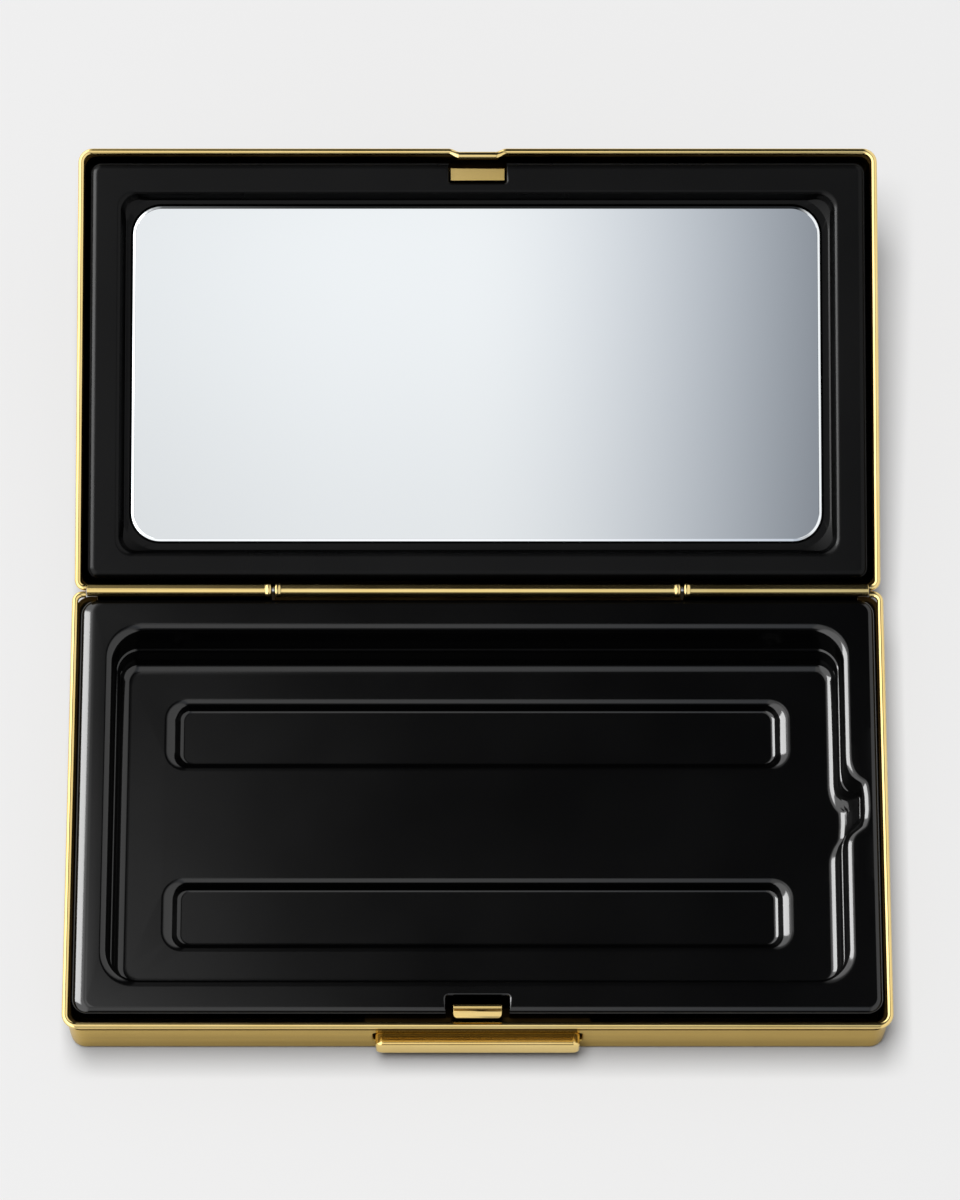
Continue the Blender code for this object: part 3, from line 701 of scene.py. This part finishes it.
def addUprightRing(piece, box, y, corner):
    left, right, bottom, top = box
    middle = ((left + right) / 2, y, (bottom + top) / 2)
    bpy.ops.mesh.primitive_plane_add(size=1, location=middle, rotation=(math.pi / 2, 0, 0))
    bpy.ops.transform.resize(value=(right - left, 1, top - bottom), center_override=middle)
    roundCorners(corner, 10)
    bpy.ops.mesh.delete(type="ONLY_FACE")


def openingCutter():
    # the button's slot, its edge rolled slightly inwards
    half, low, high = opening["half"], opening["low"], opening["high"]
    face, roll = opening["face"], opening["roll"]
    rows = (
        (0, opening["back"]), (0, face + roll), (0.03, face + 0.14), (0.09, face + 0.06),
        (roll, face), (roll + 0.1, opening["ahead"]),
    )
    rings = []
    for out, y in rows:
        box = (-half - out, half + out, low - out, high + out)
        rings.append((box, y, opening["corner"] + out))
    return solidOfRings("openingCutter", rings, addUprightRing)


def makeLidShell():
    piece = makeShell("caseLid", case["lidWidth"], lidShell, lidShell["foot"], lidShell["top"])
    cutLeafNotch(piece, (-lidShell["leafEnd"], lidShell["leafEnd"]), lidShell["leafNotch"])
    openLid(piece)
    finishShape(piece)
    place(piece, "lid", "case_brass", "lid_shell")


makeBaseShell()
makeLidShell()
print("shells made")


# Rolled rims

rim = {
    "radius": 0.39, "corner": 1.8, "rearCorner": 1.3, "cornerSteps": 16, "heel": 48.3, "sides": 8,
    "jog": 0.5, "jogHalf": 3.35, "lipHalf": 2.55, "jogCorner": 0.25, "jogSteps": 6,
    "swell": 1.22, "swellHalf": 3, "swellEase": 0.6,
}


def jogFront(piece, front, jog):
    # the front wire is pressed in to a lip
    pickVerts(piece, lambda co: co.y < front + close)
    bpy.ops.mesh.subdivide(number_cuts=4)
    line = [v for v in bmesh.from_edit_mesh(piece.data).verts if v.co.y < front + close]
    line.sort(key=lambda v: v.co.x)
    half, lip = rim["jogHalf"], rim["lipHalf"]
    for vert, (x, inwards) in zip(line[1:-1], ((-half, 0), (-lip, jog), (lip, jog), (half, 0))):
        vert.co.x, vert.co.y = x, front + inwards


def wireOutline(name, box, height, jog):
    # a rounded rectangle of edges, open at the hinge
    left, right, front, rear = box
    heel, radius = rim["heel"], rim["radius"]
    middle = ((left + right) / 2, (front + rear) / 2, height)
    objectMode()
    bpy.ops.mesh.primitive_plane_add(size=1, location=middle)
    piece = nameIt(bpy.context.object, name)
    bpy.ops.object.transform_apply(location=True)
    editMode(piece)
    bpy.ops.mesh.select_all(action="SELECT")
    bpy.ops.transform.resize(value=(right - left, rear - front, 1), center_override=middle)
    pickVerts(piece, lambda co: co.y > rear - close)
    bpy.ops.mesh.subdivide(number_cuts=2)
    for vert in bmesh.from_edit_mesh(piece.data).verts:
        if vert.co.y > rear - close and abs(vert.co.x) < right - close:
            vert.co.x = math.copysign(heel, vert.co.x)
    if jog:
        jogFront(piece, front, jog)
    for y, corner in ((front, rim["corner"]), (rear, rim["rearCorner"])):
        pickVerts(piece, lambda co: isAt(abs(co.x), right) and isAt(co.y, y))
        roundCorners(corner - radius, rim["cornerSteps"])
    if jog:
        pickVerts(piece, lambda co: abs(co.x) < rim["jogHalf"] + close and co.y < 0)
        roundCorners(rim["jogCorner"], rim["jogSteps"])
    bpy.ops.mesh.select_mode(type="EDGE")
    pickEdges(
        piece, lambda e: all(v.co.y > rear - close and abs(v.co.x) < heel + close for v in e.verts),
    )
    bpy.ops.mesh.delete(type="EDGE")
    return piece


def makeRim(name, width, height, jog):
    # the outline, given its round section
    radius = rim["radius"]
    box = insetBox(width, (radius, radius, radius))
    pickOnly(wireOutline(name, box, height, jog))
    bpy.ops.object.convert(target="CURVE")
    piece = bpy.context.object
    piece.data.bevel_depth = radius
    piece.data.bevel_resolution = rim["sides"]
    piece.data.use_fill_caps = True
    bpy.ops.object.convert(target="MESH")
    piece = nameIt(bpy.context.object, name)
    if jog:
        swellLip(piece, box[2] + jog, height)
    faceOutwards(piece)
    return piece


def swellLip(piece, middle, height):
    # the pressed lip is a little stouter than the rim beside it
    for vert in piece.data.vertices:
        share = float(np.clip((rim["swellHalf"] - abs(vert.co.x)) / rim["swellEase"], 0, 1))
        if vert.co.y < 0 and share > 0:
            amount = 1 + (rim["swell"] - 1) * share
            vert.co.y = middle + (vert.co.y - middle) * amount
            vert.co.z = height + (vert.co.z - height) * amount


def makeRims():
    base = makeRim("baseRim", case["width"], case["rim"] - rim["radius"], 0)
    finishShape(dress(base, brass), angle=60)
    place(base, "base", "case_brass", "base_rim")
    lid = makeRim("lidRim", case["lidWidth"], case["lidRim"] + rim["radius"], rim["jog"])
    openLid(lid)
    finishShape(dress(lid, brass), angle=60)
    place(lid, "lid", "case_brass", "lid_rim")


makeRims()
print("rims made")


# Hinge barrel

barrel = {
    "radius": 0.78, "flare": 0.1, "bore": 0.45, "sides": 48, "end": 48.15, "seam": 25.2, "gap": 0.35,
    "leaf": 0.35, "leafBack": 0.35, "leafEnd": 46.9, "leafIn": 0.02, "drop": 3.2,
    # run from an end, share of the flare, and what the radius still lacks there
    "flaredEnd": (
        (0, 1, -0.3), (0.04, 1, -0.14), (0.13, 1, -0.04), (0.26, 1, 0), (0.45, 0.9, 0),
        (0.65, 0.45, 0), (0.9, 0, 0),
    ),
    "plainEnd": ((0, 0, -0.1), (0.02, 0, -0.04), (0.07, 0, 0)),
}


def addBarrelRing(piece, radius, x):
    bpy.ops.mesh.primitive_circle_add(
        vertices=barrel["sides"], radius=radius, location=(x, case["hinge"], case["axis"]),
        rotation=(0, math.pi / 2, 0),
    )


def barrelRings(left, right, flared):
    # rounded ends, swelling where two lengths meet, from the bore's edge to the bore's other edge
    rows = []
    for end, way, swells in ((left, 1, flared[0]), (right, -1, flared[1])):
        half = [(barrel["bore"], end + way * 0.002)]
        for run, share, lack in barrel["flaredEnd" if swells else "plainEnd"]:
            half.append((barrel["radius"] + barrel["flare"] * share + lack, end + way * run))
        rows += half if way > 0 else half[::-1]
    return rows[:-1] + [(barrel["bore"], right)]


def makeKnuckle(name, left, right, flared, body, node):
    # a length of barrel with its leaf, which goes down into the base or up into the lid
    piece, places = stackRings(name, barrelRings(left, right, flared), addBarrelRing)
    pickPlaces(piece, places[0] | places[-1])
    bpy.ops.mesh.bridge_edge_loops()
    faceOutwards(piece)
    low, high = case["axis"], case["lidRim"] + barrel["drop"]
    if body == "base":
        low, high = case["rim"] - barrel["drop"], case["axis"]
    back = case["hinge"] - barrel["leafBack"]
    front = back - barrel["leaf"]
    outline = [(front, low), (back, low), (back, high), (front, high)]
    reach, inside = barrel["leafEnd"], barrel["leafIn"]
    ends = max(left + inside, -reach), min(right - inside, reach)
    cut(piece, profileBar("leaf", outline, *ends, edge=0.05, steps=2), "UNION")
    if body == "lid":
        openLid(piece)
    finishShape(dress(piece, brass), angle=50)
    place(piece, body, "case_brass", node)


def makeBarrel():
    start, end = barrel["seam"] + barrel["gap"] / 2, barrel["end"]
    half = barrel["seam"] - barrel["gap"] / 2
    makeKnuckle("barrelLeft", -end, -start, (False, True), "base", "base_knuckle_left")
    makeKnuckle("barrelRight", start, end, (True, False), "base", "base_knuckle_right")
    makeKnuckle("barrelMiddle", -half, half, (True, True), "lid", "lid_knuckle")


makeBarrel()
print("hinge barrel made")


# Mirror and its frame

frameSizes = {
    "edge": (1.45, 1.65, 1.5), "corner": 0.9, "face": 12.1, "round": 1.0, "wall": 0.8,
    "skirt": 2.4, "skirtCorners": (1.3, 0.7), "recess": (4.85, 5.2, 4.15), "recessCorner": 2.2,
    "lip": 0.6, "wallTilt": 68, "step": 0.06, "seat": 13.7, "floor": 15.3, "back": 16.3,
    "mouthCorner": 3.5, "housingCorner": 4.2, "notch": {"half": 3.6, "back": 4.35, "end": 18},
}
mirror = {
    "edge": (6.93, 6.98, 6.3), "shift": -0.15, "corner": 3.6, "face": 13.7, "thick": 1.1,
    "bevel": (0.3, 0.065), "room": 0.2,
}


def mirrorBox(run=0.0):
    left, right, front, rear = insetBox(case["lidWidth"], mirror["edge"], run)
    return (left + mirror["shift"], right + mirror["shift"], front, rear)


def lidFrameRings():
    # from the seat out over the face, round the skirt and along the back to the housing
    width, face, wall = case["lidWidth"], frameSizes["face"], frameSizes["wall"]
    seatHeight, step = frameSizes["seat"], frameSizes["step"]
    seat, seatCorner = mirrorBox(-mirror["room"]), mirror["corner"] + mirror["room"]
    rings = [(seat, height, seatCorner) for height in (frameSizes["floor"], seatHeight + 0.1)]
    rings.append((grownBox(seat, step), seatHeight, seatCorner))
    # the slope from the seat out to the rounded mouth of the recess
    mouth, lip, tilt = frameSizes["recess"], frameSizes["lip"], frameSizes["wallTilt"]
    rows = quarter((0, lip), lip, 270, 270 + tilt, 9)
    deep = seatHeight - face - step
    foot = rows[-1][0] + (deep - rows[-1][1]) / math.tan(math.radians(tilt))
    for run, depth in [(foot + 0.08, deep + 0.05), (foot, deep)] + rows[::-1]:
        corner = frameSizes["recessCorner"] - run * 0.3
        rings.append((insetBox(width, mouth, run), face + depth, corner))
    edge, rounding = frameSizes["edge"], frameSizes["round"]
    rows = quarter((rounding, rounding), rounding, 270, 180, 9)
    rows = [(run, face + height) for run, height in rows]
    rings += ringsAlong(width, edge, frameSizes["corner"] + rounding / 2, rows)
    outside, inside = insetBox(width, edge), insetBox(width, edge, wall)
    outer, inner = frameSizes["skirtCorners"]
    rings.append((outside, face + frameSizes["skirt"], outer))
    rings += [(inside, height, inner) for height in (face + frameSizes["skirt"], face + wall)]
    rings.append((grownBox(insetBox(width, mouth), wall), face + wall, frameSizes["mouthCorner"]))
    housing, corner = mirrorBox(-mirror["room"] - wall), frameSizes["housingCorner"]
    rings += [(housing, height, corner) for height in (seatHeight, frameSizes["back"])]
    return rings


def makeLidFrame():
    piece = solidOfRings("mirrorFrame", lidFrameRings())
    cut(piece, notchCutter("frameNotch", frameSizes["notch"], frameSizes["face"], -1))
    openLid(piece)
    finishShape(dress(piece, frameBlack))
    place(piece, "lid", "tray_black", "lid_frame")


def makeMirrorGlass():
    # a plate with a narrow bevel round its face
    face, back = mirror["face"], mirror["face"] + mirror["thick"]
    wide, deep = mirror["bevel"]
    rows = [(0.12, back), (0, back - 0.12), (0, face + deep + 0.03), (0.03, face + deep)]
    rows += [(wide, face + 0.02), (wide + 0.04, face)]
    rings = [(mirrorBox(run), height, mirror["corner"] - run) for run, height in rows]
    piece = solidOfRings("mirrorGlass", rings)
    openLid(piece)
    finishShape(dress(piece, mirrorSilver), angle=8)
    place(piece, "lid", "mirror_silver", "mirror_glass")


makeLidFrame()
makeMirrorGlass()
print("mirror and frame made")


# Latch

button = {
    "half": 12.35, "bottom": 3.3, "top": 7.3, "front": -28.85, "back": -26.65,
    "corner": 0.9, "cornerSteps": 10, "edge": 0.4, "edgeSteps": 8,
}


def isFront(face):
    return face.normal.y < -0.99


def makeButton():
    objectMode()
    bottom, top, front, back = (button[name] for name in ("bottom", "top", "front", "back"))
    middle = (0, (front + back) / 2, (top + bottom) / 2)
    bpy.ops.mesh.primitive_cube_add(size=1, location=middle)
    piece = nameIt(bpy.context.object, "thumbBar")
    piece.scale = (2 * button["half"], back - front, top - bottom)
    bpy.ops.object.transform_apply(location=True, rotation=True, scale=True)
    editMode(piece, "EDGE")
    pickEdges(piece, lambda e: abs(e.verts[0].co.y - e.verts[1].co.y) > 1)
    bpy.ops.mesh.bevel(offset=button["corner"], segments=button["cornerSteps"], affect="EDGES")
    pickFaces(piece, isFront)
    pickEdges(piece, lambda e: any(isFront(face) for face in e.link_faces))
    bpy.ops.mesh.bevel(
        offset=button["edge"], segments=button["edgeSteps"], affect="EDGES", clamp_overlap=True,
    )
    finishShape(dress(piece, latchBrass), angle=60)
    place(piece, "latch", "latch_brass", "thumb_button")


hook = {
    "half": 2.9, "stem": (-25.95, -25.35), "root": 5.9, "roll": (-25.52, 13.09), "rollRadius": 0.33,
    "tip": -26.86, "under": 12.78, "corner": 0.55, "edge": 0.1, "edgeSteps": 3,
    # (out from the stem's front, up from the underside), then (back from the tip, up from it)
    "groove": ((0, 0.1), (-0.03, 0.22), (-0.1, 0.28), (-0.2, 0.27)),
    "flap": (
        (0.4, 0.19), (0.25, 0.15), (0.16, 0.12), (0.08, 0.09), (0.03, 0.07), (0, 0.05),
        (0.02, 0.02), (0.1, 0), (0.2, 0), (0.35, 0),
    ),
}


def makeHook():
    # a stem with a rolled top, a groove, and a flap that leans forwards over the rim
    front, back = hook["stem"]
    tip, under = hook["tip"], hook["under"]
    outline = [(front, hook["root"]), (back, hook["root"]), (back, under)]
    outline += quarter(hook["roll"], hook["rollRadius"], -40, 200, 14)
    outline += [(front + y, under + z) for y, z in hook["groove"]]
    outline += [(tip + y, under + z) for y, z in hook["flap"]]
    outline.append((front, under))
    half = hook["half"]
    piece = profileBar("latchHook", outline, -half, half, hook["edge"], hook["edgeSteps"])
    roundFlap(piece)
    finishShape(dress(piece, latchBrass), angle=50)
    place(piece, "latch", "latch_brass", "latch_hook")


def roundFlap(piece):
    # the two front corners of the flap, rounded as seen from above
    radius = hook["corner"]
    middle = hook["tip"] + radius
    for vert in piece.data.vertices:
        out, ahead = hook["half"] - abs(vert.co.x), middle - vert.co.y
        if out < radius and ahead > 0:
            limit = hook["half"] - radius + math.sqrt(max(radius ** 2 - ahead ** 2, 0))
            vert.co.x = math.copysign(limit - out, vert.co.x)


catch = {
    "half": 3.5, "front": -25.62, "back": -23.85, "face": 13.75, "foot": 16.35, "wall": 0.4,
    "bend": 0.2, "edge": 0.18, "edgeSteps": 4,
}


def makeCatch():
    # a channel with rounded bends, seen from its face through the frame's notch
    front, back, face, foot = (catch[name] for name in ("front", "back", "face", "foot"))
    half, wall, bend = catch["half"], catch["wall"], catch["bend"]
    outline = quarter((front + bend, face + bend), bend, 180, 270, 5)
    outline += quarter((back - bend, face + bend), bend, 270, 360, 5)
    outline += [
        (back, foot), (back - wall, foot), (back - wall, face + wall),
        (front + wall, face + wall), (front + wall, foot), (front, foot),
    ]
    piece = profileBar("lidCatch", outline, -half, half, catch["edge"], catch["edgeSteps"])
    openLid(piece)
    finishShape(dress(piece, catchBrass), angle=50)
    place(piece, "lid", "latch_brass", "lid_catch")


makeButton()
makeHook()
makeCatch()
print("latch made")


# Pieces that keep their CAD shape

# the latch's slide and bracket inside the case take the near-black brass of the painted shade
kept = {
    "magnet_strip_front": stripSteel, "magnet_strip_rear": stripSteel, "latch_slide": shadeBrass,
    "latch_bracket": shadeBrass, "latch_rivet_left": pinSteel, "latch_rivet_right": pinSteel,
    "hinge_pin": pinSteel, "latch_spring_left": springSteel, "latch_spring_right": springSteel,
    "mirror_tape": tapeFoam,
}
for node, finish in kept.items():
    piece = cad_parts[node]
    for slot in piece.material_slots:
        slot.material = finish
    if not piece.material_slots:
        piece.data.materials.append(finish)
print("hidden pieces dressed")


# Floor, light and camera

def makeFloor():
    objectMode()
    bpy.ops.mesh.primitive_plane_add(size=8, location=(0, 0, 0))
    floor = nameIt(bpy.context.object, "studioFloor")
    made, nodes, links, shader = newFinish("paperWhite", (0.86, 0.86, 0.86), 0.9)
    shader.inputs["Specular IOR Level"].default_value = 0
    cloud = addNoise(nodes, links, 1.2)
    shade = tint(nodes, links, cloud, (0.85, 0.85, 0.852), (0.87, 0.87, 0.87))
    links.new(shade, shader.inputs["Base Color"])
    dress(floor, made)


def addMath(tree, kind, first, second=None, third=None):
    step = tree.nodes.new("ShaderNodeMath")
    step.operation = kind
    for socket, value in zip(step.inputs, (first, second, third)):
        if value is None:
            continue
        if hasattr(value, "links"):
            tree.links.new(value, socket)
        else:
            socket.default_value = value
    return step.outputs["Value"]


def fade(tree, value, ends, low=0.0, high=1.0):
    return addRange(tree.nodes, tree.links, value, ends, (low, high), "SMOOTHSTEP")


studio = {
    "soft": 0.13, "panel": 0.95, "right": 0.2, "leftEnd": 0.92, "near": 0.88, "dark": 0.02,
    "leftSide": 2.1, "rightSide": 1.0, "front": 1.05, "low": 0.06, "frontFall": -0.45,
    "shoulder": 1.8, "shoulderFar": 0.22, "again": 0.15, "backdrop": 0.86, "cool": (0.93, 1, 1.12, 1),
    # where each fade runs, as parts of the direction from which the light comes
    "fallX": (-0.005, 0.085), "leftEndX": (-0.075, -0.02), "nearY": (-0.1, -0.03),
    "lowZ": (0.36, 0.66), "inFrontY": (-0.2, -0.12), "behindY": (-0.03, 0.08),
    "shoulderRightX": (-0.13, -0.02), "shoulderLeftX": (-0.26, -0.16), "shoulderY": (0.245, 0.29),
    "rightSideX": (0.12, 0.32), "leftSideX": (-0.34, -0.14), "coolX": (0.1, 0.2),
    "againDepth": (1.2, 1.8),
}


def makeWorld():
    # even room light, and for gloss and metal a broad overhead panel that ends behind and at the right
    world = bpy.data.worlds.new("softRoom")
    bpy.context.scene.world = world
    world.use_nodes = True
    tree = world.node_tree
    tree.nodes.clear()
    where = tree.nodes.new("ShaderNodeTexCoord")
    parts = tree.nodes.new("ShaderNodeSeparateXYZ")
    tree.links.new(where.outputs["Generated"], parts.inputs["Vector"])
    x, y, z = parts.outputs

    def times(*values):
        product = values[0]
        for value in values[1:]:
            product = addMath(tree, "MULTIPLY", product, value)
        return product

    def plus(*values):
        total = values[0]
        for value in values[1:]:
            total = addMath(tree, "ADD", total, value)
        return total

    def less(value):
        return addMath(tree, "SUBTRACT", 1, value)

    # the panel overhead, darker to the right, a little dimmer at its left end and to the front
    fall = fade(tree, x, studio["fallX"])
    toRight = addMath(tree, "MULTIPLY_ADD", fall, studio["right"] - 1, 1)
    toLeft = fade(tree, x, studio["leftEndX"], studio["leftEnd"], 1)
    panel = times(toRight, toLeft, fade(tree, y, studio["nearY"], studio["near"], 1), studio["panel"])
    inFront, behind = fade(tree, y, studio["inFrontY"], 1, 0), fade(tree, y, studio["behindY"])
    above = times(panel, less(behind), less(inFront))
    # a front light that fades towards the floor, and darkness behind with a bright patch at the left
    front = fade(tree, z, studio["lowZ"], studio["low"], studio["front"])
    front = times(front, addMath(tree, "MULTIPLY_ADD", fall, studio["frontFall"], 1), inFront)
    rightEnd = fade(tree, x, studio["shoulderRightX"], 1, 0)
    leftEnd = fade(tree, x, studio["shoulderLeftX"])
    farEnd = fade(tree, y, studio["shoulderY"], 1, studio["shoulderFar"])
    rear = times(plus(times(rightEnd, leftEnd, farEnd, studio["shoulder"]), studio["dark"]), behind)
    right = fade(tree, x, studio["rightSideX"], 0, studio["rightSide"])
    left = fade(tree, x, studio["leftSideX"], studio["leftSide"], 0)
    sides = addMath(tree, "MAXIMUM", right, left)
    gloss = addMath(tree, "MAXIMUM", plus(above, rear, front), sides)
    # reflections in reflections are dimmer; brass casts no bright patches on the floor
    ray = tree.nodes.new("ShaderNodeLightPath")
    direct = addMath(tree, "LESS_THAN", ray.outputs["Diffuse Depth"], 0.5)
    again = fade(tree, ray.outputs["Glossy Depth"], studio["againDepth"], 1, studio["again"])
    gloss = times(gloss, again)
    glossy, camera = times(ray.outputs["Is Glossy Ray"], direct), ray.outputs["Is Camera Ray"]
    level = plus(times(gloss, glossy), times(camera, studio["backdrop"]))
    other = less(addMath(tree, "MAXIMUM", glossy, camera))
    level = addMath(tree, "MULTIPLY_ADD", other, studio["soft"], level)
    cool = tree.nodes.new("ShaderNodeValToRGB")
    for stop, colour in zip(cool.color_ramp.elements, ((1, 1, 1, 1), studio["cool"])):
        stop.color = colour
    tree.links.new(times(fall, glossy, fade(tree, x, studio["coolX"], 1, 0)), cool.inputs["Fac"])
    light = tree.nodes.new("ShaderNodeBackground")
    out = tree.nodes.new("ShaderNodeOutputWorld")
    tree.links.new(cool.outputs["Color"], light.inputs["Color"])
    tree.links.new(level, light.inputs["Strength"])
    tree.links.new(light.outputs["Background"], out.inputs["Surface"])


lamps = (
    # name, place, aim, width and height in metres, watts, whether matt and glossy light come from it
    ("skyPanel", (-0.17, 0.065, 1.8), (-0.17, 0.065, 0), (0.6, 0.97), 30.5, True, False),
    ("leftBox", (-0.66, 0.2, 0.46), (0, 0, 0.01), (0.4, 0.78), 10.5, False, True),
)
litByBox = ("refillTray", "mirrorFrame", "mirrorGlass")


def addLamps():
    for name, spot, aim, size, watts, matt, gloss in lamps:
        objectMode()
        bpy.ops.object.light_add(type="AREA", location=spot)
        lamp = bpy.context.object
        lamp.name = name
        lamp.data.shape = "RECTANGLE"
        lamp.data.size, lamp.data.size_y = size
        lamp.data.energy = watts
        lamp.rotation_euler = (Vector(aim) - Vector(spot)).to_track_quat("-Z", "Y").to_euler()
        lamp.visible_diffuse, lamp.visible_glossy = matt, gloss
        # the box isn't seen in reflections of reflections, and the floor bounces none of the sky
        kind, most = ("Glossy Depth", 1.5) if gloss else ("Diffuse Depth", 0.5)
        lamp.data.use_nodes = True
        tree = lamp.data.node_tree
        depth = tree.nodes.new("ShaderNodeLightPath").outputs[kind]
        strength = addMath(tree, "LESS_THAN", depth, most)
        tree.links.new(strength, tree.nodes["Emission"].inputs["Strength"])
    # the strong box lights the black and the glass, not the brass
    lit = bpy.data.collections.new("litByBox")
    for name in litByBox:
        lit.objects.link(bpy.data.objects[name])
    bpy.data.objects["leftBox"].light_linking.receiver_collection = lit


view = {
    "target": (0.292, 26.789, 10.5), "elevation": 71.475, "distance": 670.6,
    "lens": 163.02, "sensor": 36, "clip": (0.01, 50),
}


def addCamera():
    objectMode()
    rise = math.radians(view["elevation"])
    target = Vector(view["target"]) * mm
    away = Vector((0, -math.cos(rise), math.sin(rise)))
    bpy.ops.object.camera_add(location=target + away * view["distance"] * mm)
    camera = bpy.context.object
    camera.rotation_euler = (-away).to_track_quat("-Z", "Y").to_euler()
    camera.data.sensor_width = view["sensor"]
    camera.data.lens = view["lens"]
    camera.data.clip_start, camera.data.clip_end = view["clip"]
    bpy.context.scene.camera = camera


makeFloor()
makeWorld()
addLamps()
addCamera()
bpy.context.scene.view_settings.view_transform = "Standard"
print("studio ready")
